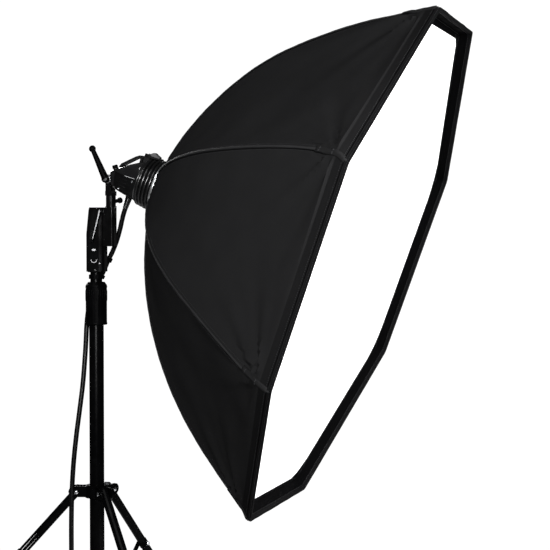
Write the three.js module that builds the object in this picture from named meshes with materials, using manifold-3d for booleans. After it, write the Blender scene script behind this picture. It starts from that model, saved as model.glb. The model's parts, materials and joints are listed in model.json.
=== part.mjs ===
// An octagonal studio softbox on its flash head, with the tilting adapter, the three-legged light
// stand and the lamp cable that belong to it.
// Millimetres, +Z up. The softbox faces -Y, nose down; the origin is on the floor, under the middle
// of the whole unit.
import * as THREE from "three";
import { mergeVertices } from "three/addons/utils/BufferGeometryUtils.js";
import Module from "manifold-3d";

const wasm = await Module();
wasm.setup();

// ---------------------------------------------------------------- driving dimensions
const DEG = Math.PI / 180;
const GAP = 0.3; // between pieces that touch

// softbox, measured along its optical axis from the front hem of the lip
const SIDES = 8;
const CORNER_R = 610; // axis to a corner: 1220 across corners, a four-foot octagon
const LIP_DEPTH = 29.5; // recess of the front diffuser behind the hem
const CLOTH = 1.5;
const REAR_R = 72; // rear opening of the canopy
const DEPTH = 508; // hem to the rear opening
const ROD_R = 2.6;
const ROD_INSET = 9; // rod's centre inside the seam
const INNER_DIFFUSER_AT = 262;

// flash head, measured along the same axis from a zero this much in front of the hem
const HEAD_LEAD = 11;
const COLLAR_FRONT = 528;
const COLLAR_BACK = 566;
const HEAD_REAR = 628;

// tilt pivot: its place in the room, and where the optical axis passes it
const TILT = 20.4 * DEG; // nose down
const HUB_Y = 112.5;
const HUB_Z = 1271.5;
const HUB_BACK = 645;
const HUB_DROP = 24.5; // pivot below the optical axis

// stand
const COLUMN_Y = HUB_Y + 33.5;
const COLUMN_R = 16.8;
const COLUMN_BOTTOM = 60;
const COLUMN_TOP = 1018;
const RISER_R = 13.7;
const SLEEVE_R = 24.5;
const SLEEVE_TOP = 1036;
const ADAPTER_BOTTOM = 1060;
const ADAPTER_TOP = 1207;
const LEG_ANGLES = [-17, 103, 223].map((a) => a * DEG);
const LEG_SPREAD = 42.1 * DEG; // from the vertical
const LEG_R = 10;
const LEG_PIVOT_R = 46; // column axis to a leg's pin
const LEG_PIVOT_Z = 553;
const FOOT_R = 13;
const BRACE = 200; // pin to pin, and leg pin to brace pin
const SLIDER_Z = LEG_PIVOT_Z - 2 * BRACE * Math.cos(LEG_SPREAD);

// lamp cable
const CABLE_R = 5.65;
const COIL_R = 62; // middle of the turns: 11 cable diameters across
const COIL_AT = [-230, 279];

// ---------------------------------------------------------------- helpers
const group = new THREE.Group();
const v3 = (x, y, z) => new THREE.Vector3(x, y, z);
const v2 = (x, y) => new THREE.Vector2(x, y);

function finish(name, color, roughness, metalness) {
  const material = new THREE.MeshStandardMaterial({ color, roughness, metalness });
  material.name = name;
  return material;
}

const blackCloth = finish("black_cloth", 0x1c1c1d, 0.85, 0);
const lipCloth = finish("lip_cloth", 0x0a0a0b, 0.9, 0);
const whiteCloth = finish("white_cloth", 0xf7f7f5, 0.8, 0);
const steel = finish("steel", 0xb9bcc0, 0.3, 1);
const alloy = finish("alloy", 0x9a9da1, 0.4, 1);
const blackMetal = finish("black_metal", 0x0c0c0d, 0.35, 0.4);
const blackPlastic = finish("black_plastic", 0x111112, 0.5, 0);
const greyPlastic = finish("grey_plastic", 0x77797c, 0.5, 0);
const rubber = finish("rubber", 0x0d0d0d, 0.8, 0);
const glass = finish("frosted_glass", 0xf1f2ee, 0.4, 0);

// Keeps only positions, joins shared vertices and turns the faces out.
function closed(geometry) {
  const bare = new THREE.BufferGeometry();
  bare.setAttribute("position", geometry.getAttribute("position").clone());
  if (geometry.index) bare.setIndex(geometry.index.clone());
  const merged = mergeVertices(bare, 1e-3);
  const p = merged.getAttribute("position");
  const faces = [];
  let volume = 0;
  const [a, b, c] = [v3(), v3(), v3()];
  for (let i = 0; i < merged.index.count; i += 3) {
    const [i0, i1, i2] = [0, 1, 2].map((k) => merged.index.getX(i + k));
    if (i0 === i1 || i1 === i2 || i2 === i0) continue;
    faces.push(i0, i1, i2);
    volume += a.fromBufferAttribute(p, i0).dot(
      b.fromBufferAttribute(p, i1).cross(c.fromBufferAttribute(p, i2)),
    );
  }
  if (volume < 0) faces.reverse();
  merged.setIndex(faces);
  return merged;
}

function toSolid(geometry) {
  const g = closed(geometry);
  return new wasm.Manifold(
    new wasm.Mesh({
      numProp: 3,
      vertProperties: new Float32Array(g.getAttribute("position").array),
      triVerts: new Uint32Array(g.index.array),
    }),
  );
}

function toGeometry(solid) {
  const mesh = solid.getMesh();
  const geometry = new THREE.BufferGeometry();
  geometry.setAttribute("position", new THREE.Float32BufferAttribute(mesh.vertProperties, 3));
  geometry.setIndex(Array.from(mesh.triVerts));
  return geometry;
}

// Joins some closed geometries and cuts others away.
function carve(joined, cut = []) {
  let solid = toSolid(joined[0]);
  for (const g of joined.slice(1)) solid = solid.add(toSolid(g));
  for (const g of cut) solid = solid.subtract(toSolid(g));
  return toGeometry(solid);
}

function piece(parent, name, geometry, material) {
  const mesh = new THREE.Mesh(closed(geometry), material);
  mesh.name = name;
  parent.add(mesh);
  return mesh;
}

// A turned shape about +Z from [radius, z] pairs; the outline closes on itself unless it ends on
// the axis at both ends.
function turned(outline, segments) {
  const points = outline.map(([r, z]) => v2(r, z));
  const onAxis = outline[0][0] === 0 && outline[outline.length - 1][0] === 0;
  if (!onAxis) points.push(points[0].clone());
  return new THREE.LatheGeometry(points, segments).rotateX(Math.PI / 2);
}

// The same, about the optical axis (local +Y), from [radius, depth] pairs.
const turnedOnAxis = (outline, segments) => turned(outline, segments).rotateX(-Math.PI / 2);

function block(x0, x1, y0, y1, z0, z1) {
  const box = new THREE.BoxGeometry(x1 - x0, y1 - y0, z1 - z0);
  return box.translate((x0 + x1) / 2, (y0 + y1) / 2, (z0 + z1) / 2);
}

// A rounded cylinder between two points, with its own radius at each end.
function bar(from, to, r0, r1 = r0, segments = 12) {
  const along = to.clone().sub(from);
  const rod = new THREE.CylinderGeometry(r1, r0, along.length(), segments);
  rod.applyQuaternion(
    new THREE.Quaternion().setFromUnitVectors(v3(0, 1, 0), along.clone().normalize()),
  );
  return rod.translate((from.x + to.x) / 2, (from.y + to.y) / 2, (from.z + to.z) / 2);
}

function roundTube(path, r, sides, steps) {
  const section = new THREE.Shape(
    Array.from({ length: sides }, (_, i) => {
      const a = (2 * Math.PI * i) / sides;
      return v2(r * Math.cos(a), r * Math.sin(a));
    }),
  );
  return new THREE.ExtrudeGeometry(section, { extrudePath: path, steps });
}

// A closed skin between two surfaces given as functions of (u, v) in 0..1.
function skin(outer, inner, nu, nv) {
  const at = (s, i, j) => (s * (nu + 1) + i) * (nv + 1) + j;
  const positions = [];
  for (const face of [outer, inner]) {
    for (let i = 0; i <= nu; i++) {
      for (let j = 0; j <= nv; j++) positions.push(...face(i / nu, j / nv));
    }
  }
  const index = [];
  const quad = (a, b, c, d) => index.push(a, b, c, a, c, d);
  for (let i = 0; i < nu; i++) {
    for (let j = 0; j < nv; j++) {
      quad(at(0, i, j), at(0, i + 1, j), at(0, i + 1, j + 1), at(0, i, j + 1));
      quad(at(1, i, j), at(1, i, j + 1), at(1, i + 1, j + 1), at(1, i + 1, j));
    }
    quad(at(0, i, 0), at(1, i, 0), at(1, i + 1, 0), at(0, i + 1, 0));
    quad(at(0, i, nv), at(0, i + 1, nv), at(1, i + 1, nv), at(1, i, nv));
  }
  for (let j = 0; j < nv; j++) {
    quad(at(0, 0, j), at(0, 0, j + 1), at(1, 0, j + 1), at(1, 0, j));
    quad(at(0, nu, j), at(1, nu, j), at(1, nu, j + 1), at(0, nu, j + 1));
  }
  const geometry = new THREE.BufferGeometry();
  geometry.setAttribute("position", new THREE.Float32BufferAttribute(positions, 3));
  geometry.setIndex(index);
  return geometry;
}

// A closed shape through a row of rings that all have the same number of points.
function loft(rings) {
  const n = rings[0].length;
  const positions = rings.flat(2);
  const index = [];
  for (let i = 0; i + 1 < rings.length; i++) {
    for (let j = 0; j < n; j++) {
      const k = (j + 1) % n;
      const [a, b, c, d] = [i * n + j, (i + 1) * n + j, (i + 1) * n + k, i * n + k];
      index.push(a, b, c, a, c, d);
    }
  }
  const last = (rings.length - 1) * n;
  for (let j = 1; j + 1 < n; j++) {
    index.push(0, j, j + 1, last, last + j + 1, last + j);
  }
  const geometry = new THREE.BufferGeometry();
  geometry.setAttribute("position", new THREE.Float32BufferAttribute(positions, 3));
  geometry.setIndex(index);
  return geometry;
}

function octagon(radius) {
  const corners = Array.from({ length: SIDES }, (_, k) => {
    const a = cornerAngle(k);
    return v2(radius * Math.cos(a), radius * Math.sin(a));
  });
  return new THREE.Shape(corners);
}

const cornerAngle = (k) => ((k + 0.5) * 2 * Math.PI) / SIDES;

// A flat octagonal plate or frame between two depths.
function octagonPlate(radius, from, to, hole = 0) {
  const shape = octagon(radius);
  if (hole) shape.holes.push(octagon(hole));
  const plate = new THREE.ExtrudeGeometry(shape, { depth: to - from, bevelEnabled: false });
  return plate.rotateX(Math.PI / 2).rotateZ(Math.PI).translate(0, from, 0);
}

// ---------------------------------------------------------------- nested frames
// lamp turns about the tilt pivot; optic and head have the optical axis along +Y, one with its zero
// at the hem and one with the head's own zero.
const lamp = new THREE.Group();
lamp.position.set(0, HUB_Y, HUB_Z);
lamp.rotation.x = TILT;
group.add(lamp);
const optic = new THREE.Group();
optic.position.set(0, HEAD_LEAD - HUB_BACK, HUB_DROP);
lamp.add(optic);
const head = new THREE.Group();
head.position.set(0, -HUB_BACK, HUB_DROP);
lamp.add(head);
const stand = new THREE.Group();
stand.position.set(0, COLUMN_Y, 0);
group.add(stand);

// ---------------------------------------------------------------- softbox
// The bent rod's curve, as (depth, radius) from the rear opening to the front corner.
const rodCurve = new THREE.CubicBezierCurve(
  v2(DEPTH, REAR_R), v2(434, 310), v2(244, 482), v2(LIP_DEPTH + 1.5, CORNER_R - 4),
);

function onRod(t, inset) {
  const p = rodCurve.getPoint(t);
  const d = rodCurve.getTangent(t);
  return { depth: p.x - inset * d.y, radius: p.y + inset * d.x };
}

function rod(k) {
  const a = cornerAngle(k);
  const points = Array.from({ length: 13 }, (_, i) => {
    const { depth, radius } = onRod(0.02 + (0.94 * i) / 12, ROD_INSET);
    return v3(radius * Math.cos(a), depth, radius * Math.sin(a));
  });
  return roundTube(new THREE.CatmullRomCurve3(points), ROD_R, 6, 10);
}

// One canopy panel: flat from rod to rod, bent along them.
function panel(k) {
  const side = (inset) => (u, v) => {
    const { depth, radius } = onRod(u, inset);
    const [a, b] = [cornerAngle(k), cornerAngle(k + 1)];
    const chord = 2 * radius * Math.sin(Math.PI / SIDES);
    const s = GAP / chord + v * (1 - (2 * GAP) / chord);
    const x = radius * (Math.cos(a) * (1 - s) + Math.cos(b) * s);
    const z = radius * (Math.sin(a) * (1 - s) + Math.sin(b) * s);
    return [x, depth, z];
  };
  return skin(side(0), side(CLOTH), 10, 1);
}

for (let k = 0; k < SIDES; k++) {
  piece(optic, `canopy_panel_${k + 1}`, panel(k), blackCloth);
  piece(optic, `rod_${k + 1}`, rod(k), steel);
}
piece(optic, "front_lip", octagonPlate(CORNER_R, 0, LIP_DEPTH, CORNER_R - 3), lipCloth);
piece(
  optic, "front_diffuser",
  octagonPlate(CORNER_R - 4, LIP_DEPTH - CLOTH, LIP_DEPTH), whiteCloth,
);
piece(
  optic, "inner_diffuser",
  octagonPlate(412, INNER_DIFFUSER_AT, INNER_DIFFUSER_AT + CLOTH), whiteCloth,
);

// The turning ring holds a socket for each rod; the insert it turns on slides into the collar.
function speedring() {
  const ring = turnedOnAxis([[51, DEPTH - 24], [64, DEPTH - 24], [64, DEPTH], [51, DEPTH]], 32);
  const [sockets, holes] = [[], []];
  for (let k = 0; k < SIDES; k++) {
    const a = cornerAngle(k);
    const at = (t, push) => {
      const { depth, radius } = onRod(t, ROD_INSET);
      return v3((radius + push) * Math.cos(a), depth, (radius + push) * Math.sin(a));
    };
    sockets.push(bar(at(0, -8), at(0.06, 0), 5.5, 5.5, 8));
    holes.push(bar(at(0.01, 0), at(0.08, 0), ROD_R + 0.6, ROD_R + 0.6, 8));
  }
  return carve([ring, ...sockets], holes);
}

piece(optic, "speedring", speedring(), alloy);
piece(
  head, "speedring_insert",
  turnedOnAxis([
    [46, 488], [58, 488], [58, 494.5], [50, 494.5], [50, 520], [56, 520], [56, 525], [50, 525],
    [50, 557], [46, 557],
  ], 28),
  alloy,
);

// ---------------------------------------------------------------- flash head
// A ring of the housing: a rounded square that leans back by `slant` from bottom to top.
function housingRing(depth, halfWidth, low, high, power, slant = 0) {
  const middle = (low + high) / 2;
  const half = (high - low) / 2;
  return Array.from({ length: 24 }, (_, i) => {
    const a = (2 * Math.PI * i) / 24;
    const grow = (c) => Math.sign(c) * Math.abs(c) ** (2 / power);
    const up = grow(Math.sin(a));
    return [halfWidth * grow(Math.cos(a)), depth + (slant * (up + 1)) / 2, middle + half * up];
  });
}

const housing = () =>
  loft([
    housingRing(558.5, 50.4, -50.4, 50.4, 2),
    housingRing(COLLAR_BACK + GAP, 50.4, -50.4, 50.4, 2),
    housingRing(570, 49, -46, 46, 3, 1.5),
    housingRing(602, 40, -41.5, 23, 3.6, 7),
    housingRing(HEAD_REAR, 27, -37, -1, 3.6, 14),
  ]);

// Dial and test button stand on the rear slope of the housing; the button has a well to sink in.
const slope = v3(0, 0.588, 0.809);
const onSlope = (x, rise) => v3(x, 635.6, 3.7).addScaledVector(slope, rise);
piece(
  head, "head_housing",
  carve(
    [housing(), block(-12, 12, COLLAR_BACK + 0.6, 580, 30, 57.6)],
    [bar(onSlope(10, -5), onSlope(10, 5), 4, 4, 12)],
  ),
  blackPlastic,
);
piece(head, "power_dial", bar(onSlope(-11, 0.6), onSlope(-11, 9), 6, 5.2, 14), blackPlastic);
piece(head, "test_button", bar(onSlope(10, -2), onSlope(10, 3), 3.4, 3.4, 12), greyPlastic);

// The rubber collar that grips the insert, with its grip ridges.
const ridges = [];
[59.5, 58.3, 57.1, 56].forEach((r, i) => {
  const at = COLLAR_FRONT + 1.6 + 9 * i;
  ridges.push([r - 3.5, at], [r, at + 2.2], [r, at + 6.2]);
});
piece(
  head, "head_collar",
  turnedOnAxis([
    [51.2, COLLAR_FRONT], [55.6, COLLAR_FRONT], ...ridges, [52.8, COLLAR_BACK], [51.2, COLLAR_BACK],
  ], 28),
  rubber,
);

const DOME_R = 42;
const dome = (r) => Array.from({ length: 5 }, (_, i) => {
  const a = (Math.PI / 2) * (i / 4);
  return [r * Math.sin(a), 505 - (r - 8) * Math.cos(a)];
});
piece(
  head, "glass_dome",
  turnedOnAxis([...dome(DOME_R), [DOME_R, 558], [DOME_R - 2, 558], ...dome(DOME_R - 2).reverse()], 20),
  glass,
);

function flashTube() {
  const loop = new THREE.TorusGeometry(30, 3.2, 6, 18).rotateX(Math.PI / 2).translate(0, 520, 0);
  const legs = [-30, 30].map((x) => bar(v3(x, 519, 0), v3(x, 558.2, 0), 3, 3, 6));
  return carve([loop, ...legs]);
}

piece(head, "flash_tube", flashTube(), glass);
piece(
  head, "modelling_lamp",
  turnedOnAxis([
    [0, 498], [7, 500], [12, 510], [12, 518], [9, 531], [9, 558.2], [0, 558.2],
  ], 12),
  glass,
);

// A strap-shaped carrying bail over the sloping top.
const bail = new THREE.Shape([
  v2(581.5, 25), v2(582.5, 49), v2(586, 52.8), v2(592, 52.2), v2(600.5, 46), v2(627, 20), v2(629.5, 13),
  v2(629.5, -5), v2(624.5, -5), v2(624.5, 12.5), v2(622.5, 17), v2(598, 41.5), v2(591, 46.8),
  v2(587.8, 47), v2(586.3, 25),
]);
const bailSolid = new THREE.ExtrudeGeometry(bail, { depth: 24, bevelEnabled: false });
// shape x (depth) to local +Y, shape y to local +Z, thickness to local X
bailSolid.applyMatrix4(
  new THREE.Matrix4().makeBasis(v3(0, 1, 0), v3(0, 0, 1), v3(1, 0, 0)).setPosition(-12, 0, 0),
);
piece(head, "carry_bail", carve([bailSolid], [housing().translate(0, 0, 0.35)]), blackPlastic);

// The collar's latch: a low lever on top, hinged at its back edge.
piece(
  head, "collar_latch",
  loft([
    [[-11, 547, 60.5], [11, 547, 60.5], [8, 547, 63], [-8, 547, 63]],
    [[-11, 561, 59.5], [11, 561, 59.5], [7, 561, 69], [-7, 561, 69]],
    [[-11, 577, 58.2], [11, 577, 58.2], [9, 577, 62.5], [-9, 577, 62.5]],
  ]),
  greyPlastic,
);

// The tongue of the tilt joint, on the back of the housing, with its bore about the pivot.
const hub = (x0, x1, r, segments) => bar(v3(x0, HUB_BACK, -HUB_DROP), v3(x1, HUB_BACK, -HUB_DROP), r, r, segments);
piece(
  head, "tilt_tongue",
  carve(
    [block(-11, 11, HEAD_REAR - 4, HUB_BACK, -HUB_DROP - 9, 9 - HUB_DROP), hub(-11, 11, 10.4, 20)],
    [hub(-12, 12, 5.3, 16), housing().translate(0, 0.35, 0)],
  ),
  blackMetal,
);

// The tilt handle: clamping bolt, hub and a tapered arm that ends in a ball.
const HANDLE = v3(0, 53.5, 53.5);
const handleRoot = v3(-27.6, HUB_BACK, -HUB_DROP);
piece(
  head, "tilt_handle",
  carve([
    hub(-33, -19.4, 8.6, 16), hub(-20, 20, 5, 12), hub(19.4, 25, 9, 6),
    bar(handleRoot, handleRoot.clone().add(HANDLE), 8, 5.2, 10),
    new THREE.SphereGeometry(8.6, 12, 8).translate(handleRoot.x, HUB_BACK + HANDLE.y, HANDLE.z - HUB_DROP),
  ]),
  blackPlastic,
);

// Strain relief under the housing.
const glandAt = (z) => v3(21, 594, z);
piece(
  head, "cable_gland",
  carve(
    [bar(glandAt(-38), glandAt(-52), 8.6, 8.6, 6), bar(glandAt(-50), glandAt(-76), 8, 6.4, 12)],
    [housing().translate(0, 0, -0.35)],
  ),
  rubber,
);

// ---------------------------------------------------------------- tilting adapter
// Fork cheeks either side of the tongue, a bridge below them, and a post that ends in a spigot.
const FORK_Y = HUB_Y - COLUMN_Y; // pivot in the stand's frame
const SPIGOT_Y = FORK_Y - 2.7;
const SPIGOT_R = 8;
const POST_R = 11.4;
function fork() {
  const cheeks = [-19, 11.6].flatMap((x) => [
    bar(v3(x, FORK_Y, HUB_Z), v3(x + 7.4, FORK_Y, HUB_Z), 10.4, 10.4, 20),
    block(x, x + 7.4, FORK_Y - 7, FORK_Y + 3.5, 1240, HUB_Z),
  ]);
  const bridge = block(-19, 19, SPIGOT_Y - 7, SPIGOT_Y + 7, 1234, 1244);
  const up = (z0, z1, r) => bar(v3(0, SPIGOT_Y, z0), v3(0, SPIGOT_Y, z1), r, r, 24);
  const bore = bar(v3(-20, FORK_Y, HUB_Z), v3(20, FORK_Y, HUB_Z), 5.3, 5.3, 16);
  return carve([...cheeks, bridge, up(ADAPTER_TOP + GAP, 1240, POST_R), up(1172, 1210, SPIGOT_R)], [bore]);
}
piece(stand, "tilt_fork", fork(), blackMetal);

function roundedPost(halfX, halfY, r, z0, z1) {
  const s = new THREE.Shape();
  s.moveTo(halfX, -halfY + r);
  s.absarc(halfX - r, halfY - r, r, 0, Math.PI / 2);
  s.absarc(-halfX + r, halfY - r, r, Math.PI / 2, Math.PI);
  s.absarc(-halfX + r, -halfY + r, r, Math.PI, 1.5 * Math.PI);
  s.absarc(halfX - r, -halfY + r, r, 1.5 * Math.PI, 2 * Math.PI);
  const post = new THREE.ExtrudeGeometry(s, { depth: z1 - z0, bevelEnabled: false, curveSegments: 5 });
  return post.translate(0, 0, z0);
}

// The body is a rounded block about the riser that draws in towards its top, with a deeper block
// for the spigot in front.
const BODY_FRONT = -23.5;
function bodyRing(z, back, grow = 0) {
  const r = 10;
  const corners = [[9, back - r], [-9, back - r], [-9, BODY_FRONT + r], [9, BODY_FRONT + r]];
  return corners.flatMap(([x, y], q) => Array.from({ length: 6 }, (_, i) => {
    const a = (Math.PI / 2) * (q + i / 5);
    return [x + (r + grow) * Math.cos(a), y + (r + grow) * Math.sin(a), z];
  })).reverse();
}

piece(
  stand, "adapter_body",
  carve(
    [
      loft([
        bodyRing(ADAPTER_BOTTOM, 20), bodyRing(1146, 20), bodyRing(1200, 14.5), bodyRing(ADAPTER_TOP, 13),
      ]),
      roundedPost(14, 24, 5, 1118, ADAPTER_TOP).translate(0, -22.5, 0),
    ],
    [
      bar(v3(0, 0, ADAPTER_BOTTOM - 5), v3(0, 0, 1150), RISER_R + 0.4, RISER_R + 0.4, 24),
      bar(v3(0, SPIGOT_Y, 1168), v3(0, SPIGOT_Y, ADAPTER_TOP + 5), SPIGOT_R + 0.4, SPIGOT_R + 0.4, 20),
    ],
  ),
  blackMetal,
);

// The long clamping lever lies on the adapter's side and swings out about its upper end.
const LEVER_LEAN = 13 * DEG;
const lever = new THREE.Shape();
lever.absarc(0, 0, 9, 0, Math.PI);
lever.lineTo(-5.5, -65);
lever.absarc(0, -66, 5.5, Math.PI, 2 * Math.PI);
const leverSolid = new THREE.ExtrudeGeometry(lever, { depth: 6.5, bevelEnabled: false, curveSegments: 8 });
leverSolid.applyMatrix4(
  new THREE.Matrix4().makeBasis(v3(0, -1, 0), v3(0, 0, 1), v3(-1, 0, 0)),
);
leverSolid.rotateX(LEVER_LEAN).translate(-19.4, -11.4, 1196);
piece(stand, "adapter_lever", leverSolid, blackMetal);

// ---------------------------------------------------------------- stand
piece(
  stand, "riser_tube",
  turned([[RISER_R - 1.5, 300], [RISER_R, 300], [RISER_R, 1146], [RISER_R - 1.5, 1146]], 24),
  blackMetal,
);
piece(
  stand, "base_column",
  turned([
    [COLUMN_R - 1.8, COLUMN_BOTTOM], [COLUMN_R, COLUMN_BOTTOM], [COLUMN_R, COLUMN_TOP],
    [COLUMN_R - 1.8, COLUMN_TOP],
  ], 28),
  blackMetal,
);
piece(
  stand, "column_cap",
  turned([
    [5, 44], [COLUMN_R + 1.2, 44], [COLUMN_R + 1.2, COLUMN_BOTTOM - GAP], [COLUMN_R - 2.2, COLUMN_BOTTOM - GAP],
    [COLUMN_R - 2.2, 82], [5, 82],
  ], 24),
  blackPlastic,
);

// Clamp sleeve on the column's top, with the lock knob on the side away from the lever.
const KNOB_ANGLE = 14.8 * DEG;
const outFrom = (angle, r, z, across = 0) =>
  v3(r * Math.cos(angle) - across * Math.sin(angle), r * Math.sin(angle) + across * Math.cos(angle), z);
const KNOB_Z = 962;
piece(
  stand, "clamp_sleeve",
  carve(
    [
      turned([
        [COLUMN_R + GAP, 938], [SLEEVE_R, 938], [SLEEVE_R, 1029], [SLEEVE_R - 5, SLEEVE_TOP],
        [RISER_R + GAP, SLEEVE_TOP], [RISER_R + GAP, COLUMN_TOP + 1], [COLUMN_R + GAP, COLUMN_TOP + 1],
      ], 24),
      bar(outFrom(KNOB_ANGLE, 20, KNOB_Z), outFrom(KNOB_ANGLE, 31, KNOB_Z), 9, 8, 12),
    ],
    [bar(outFrom(KNOB_ANGLE, 17.5, KNOB_Z), outFrom(KNOB_ANGLE, 34, KNOB_Z), 4.4, 4.4, 12)],
  ),
  blackPlastic,
);

// A three-lobed hand knob on a screw.
function handKnob(angle, z, from, to, lobe) {
  const head = [0, 120, 240].map((turn) => {
    const a = turn * DEG;
    const rise = z + lobe * Math.sin(a);
    return bar(
      outFrom(angle, to, rise, lobe * Math.cos(a)), outFrom(angle, to + 12, rise, lobe * Math.cos(a)),
      lobe * 0.95, lobe * 0.85, 10,
    );
  });
  return carve([
    bar(outFrom(angle, from, z), outFrom(angle, to + 1, z), 4, 4, 12),
    bar(outFrom(angle, to, z), outFrom(angle, to + 12, z), lobe, lobe, 12),
    ...head,
  ]);
}
piece(stand, "sleeve_knob", handKnob(KNOB_ANGLE, KNOB_Z, 18, 32, 7.5), blackPlastic);

// Leg collar: a ring with a fork and a pin for each leg.
function legCollar() {
  const parts = [
    turned([[COLUMN_R + GAP, 539], [27, 539], [27, 566], [25, 568], [COLUMN_R + GAP, 568]], 24),
  ];
  for (const a of LEG_ANGLES) {
    for (const side of [-1, 1]) {
      const cheek = block(17, 52, -2, 2, 541, 566).translate(0, side * 12.6, 0);
      const nose = bar(v3(52, side * 10.6, 553.5), v3(52, side * 14.6, 553.5), 12.4, 12.4, 12);
      parts.push(cheek.rotateZ(a), nose.rotateZ(a));
    }
    parts.push(bar(outFrom(a, LEG_PIVOT_R, LEG_PIVOT_Z, -17), outFrom(a, LEG_PIVOT_R, LEG_PIVOT_Z, 17), 3, 3, 8));
  }
  return carve(parts, [turned([[0, 530], [COLUMN_R + GAP, 530], [COLUMN_R + GAP, 575], [0, 575]], 24)]);
}
piece(stand, "leg_collar", legCollar(), blackMetal);
piece(
  stand, "collar_screw",
  bar(outFrom(-75 * DEG, 22, 568.4), outFrom(-75 * DEG, 22, 575), 4.2, 4.2, 10),
  steel,
);

// Legs, feet and braces, spread about their pins.
const down = (a, along) =>
  outFrom(a, LEG_PIVOT_R + along * Math.sin(LEG_SPREAD), LEG_PIVOT_Z - along * Math.cos(LEG_SPREAD));
const FOOT_AT = (LEG_PIVOT_Z - FOOT_R) / Math.cos(LEG_SPREAD);
const cross = (a, at, half, r) => bar(
  at.clone().add(outFrom(a, 0, 0, -half)), at.clone().add(outFrom(a, 0, 0, half)), r, r, 8,
);

function braceBars(a) {
  const foot = outFrom(a, LEG_PIVOT_R, SLIDER_Z);
  const bars = [-12.8, 12.8].map((side) => {
    const along = foot.clone().sub(down(a, BRACE));
    const flat = block(-1.6, 1.6, -6, 6, 0, along.length());
    // x across the brace, z along it
    const z = along.clone().normalize();
    const x = outFrom(a, 0, 0, 1);
    const y = z.clone().cross(x);
    flat.applyMatrix4(new THREE.Matrix4().makeBasis(x, y, z));
    const p = down(a, BRACE).add(outFrom(a, 0, 0, side));
    return flat.translate(p.x, p.y, p.z);
  });
  return carve([...bars, cross(a, down(a, BRACE), 14.4, 3)]);
}

LEG_ANGLES.forEach((a, i) => {
  const tube = bar(down(a, -10), down(a, FOOT_AT - 14), LEG_R, LEG_R, 14);
  piece(
    stand, `leg_${i + 1}`,
    carve([tube], [cross(a, down(a, 0), 20, 3.3), cross(a, down(a, BRACE), 20, 3.3)]),
    blackMetal,
  );
  const foot = new THREE.SphereGeometry(FOOT_R, 12, 8).rotateX(Math.PI / 2).rotateZ(a);
  const centre = down(a, FOOT_AT);
  foot.translate(centre.x, centre.y, centre.z);
  const boot = bar(down(a, FOOT_AT - 40), down(a, FOOT_AT - 2), LEG_R + 2.4, LEG_R + 2.4, 12);
  const hollow = bar(down(a, FOOT_AT - 50), down(a, FOOT_AT - 14 + GAP), LEG_R + GAP, LEG_R + GAP, 14);
  piece(stand, `foot_${i + 1}`, carve([foot, boot], [hollow]), rubber);
  piece(stand, `brace_${i + 1}`, braceBars(a), blackMetal);
});

// The slider under the braces: its ears stand beside the brace ends.
function slider() {
  const parts = [
    turned([
      [COLUMN_R + GAP, SLIDER_Z - 16], [26, SLIDER_Z - 16], [26, SLIDER_Z + 14], [COLUMN_R + GAP, SLIDER_Z + 14],
    ], 28),
  ];
  for (const a of LEG_ANGLES) {
    for (const side of [-1, 1]) {
      const ear = block(12, 52, -1.5, 1.5, SLIDER_Z - 8, SLIDER_Z + 8).translate(0, side * 16.6, 0);
      parts.push(ear.rotateZ(a));
    }
  }
  const bore = turned([
    [0, SLIDER_Z - 20], [COLUMN_R + GAP, SLIDER_Z - 20], [COLUMN_R + GAP, SLIDER_Z + 20], [0, SLIDER_Z + 20],
  ], 28);
  return carve(parts, [bore]);
}
piece(stand, "brace_slider", slider(), blackPlastic);

// ---------------------------------------------------------------- lamp cable
// Clips on the adapter and on the riser hold it; between and below them it hangs, and what is
// left of its length lies coiled on the floor, with the connector beside it. The route starts
// along the strain relief's axis.
const route = [
  [21, 82.4, 1204.9], [21.3, 85.3, 1197], [22.4, 90, 1182], [24.8, 96.6, 1158],
  [27.6, 106.4, 1129], [29.6, 118.6, 1102], [30.6, 127.2, 1087], [31, 136.6, 1066],
  [30.9, 145.6, 1048], [29.8, 152.6, 1034], [26.2, 162.6, 1010], [21, 169.8, 988],
  [16.5, 173.2, 962], [11.5, 174.4, 932], [4, 173.6, 893], [-5, 173.4, 850], [-13, 175, 800],
  [-22, 179, 745], [-30, 184.5, 685], [-36, 189.5, 620], [-39, 192.5, 555], [-40.5, 193.5, 490],
  [-41, 193.5, 420], [-41, 193.5, 350], [-41, 193.5, 280], [-41, 194, 215], [-44, 195, 160],
  [-55, 196.5, 106], [-76, 198, 59], [-108, 199.5, 24], [-146, 200, 7.6],
  [-187.3, 200, CABLE_R],
].map((p) => v3(...p));
const ADAPTER_CLIP_AT = 6; // places along the route
const RISER_CLIP_AT = 8;
const wholeRoute = new THREE.CatmullRomCurve3(route, false, "centripetal");

class Stretch extends THREE.Curve {
  constructor(from, to) {
    super();
    this.from = from / (route.length - 1);
    this.to = to / (route.length - 1);
  }
  getPoint(t) {
    return wholeRoute.getPoint(this.from + (this.to - this.from) * t);
  }
}

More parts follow.
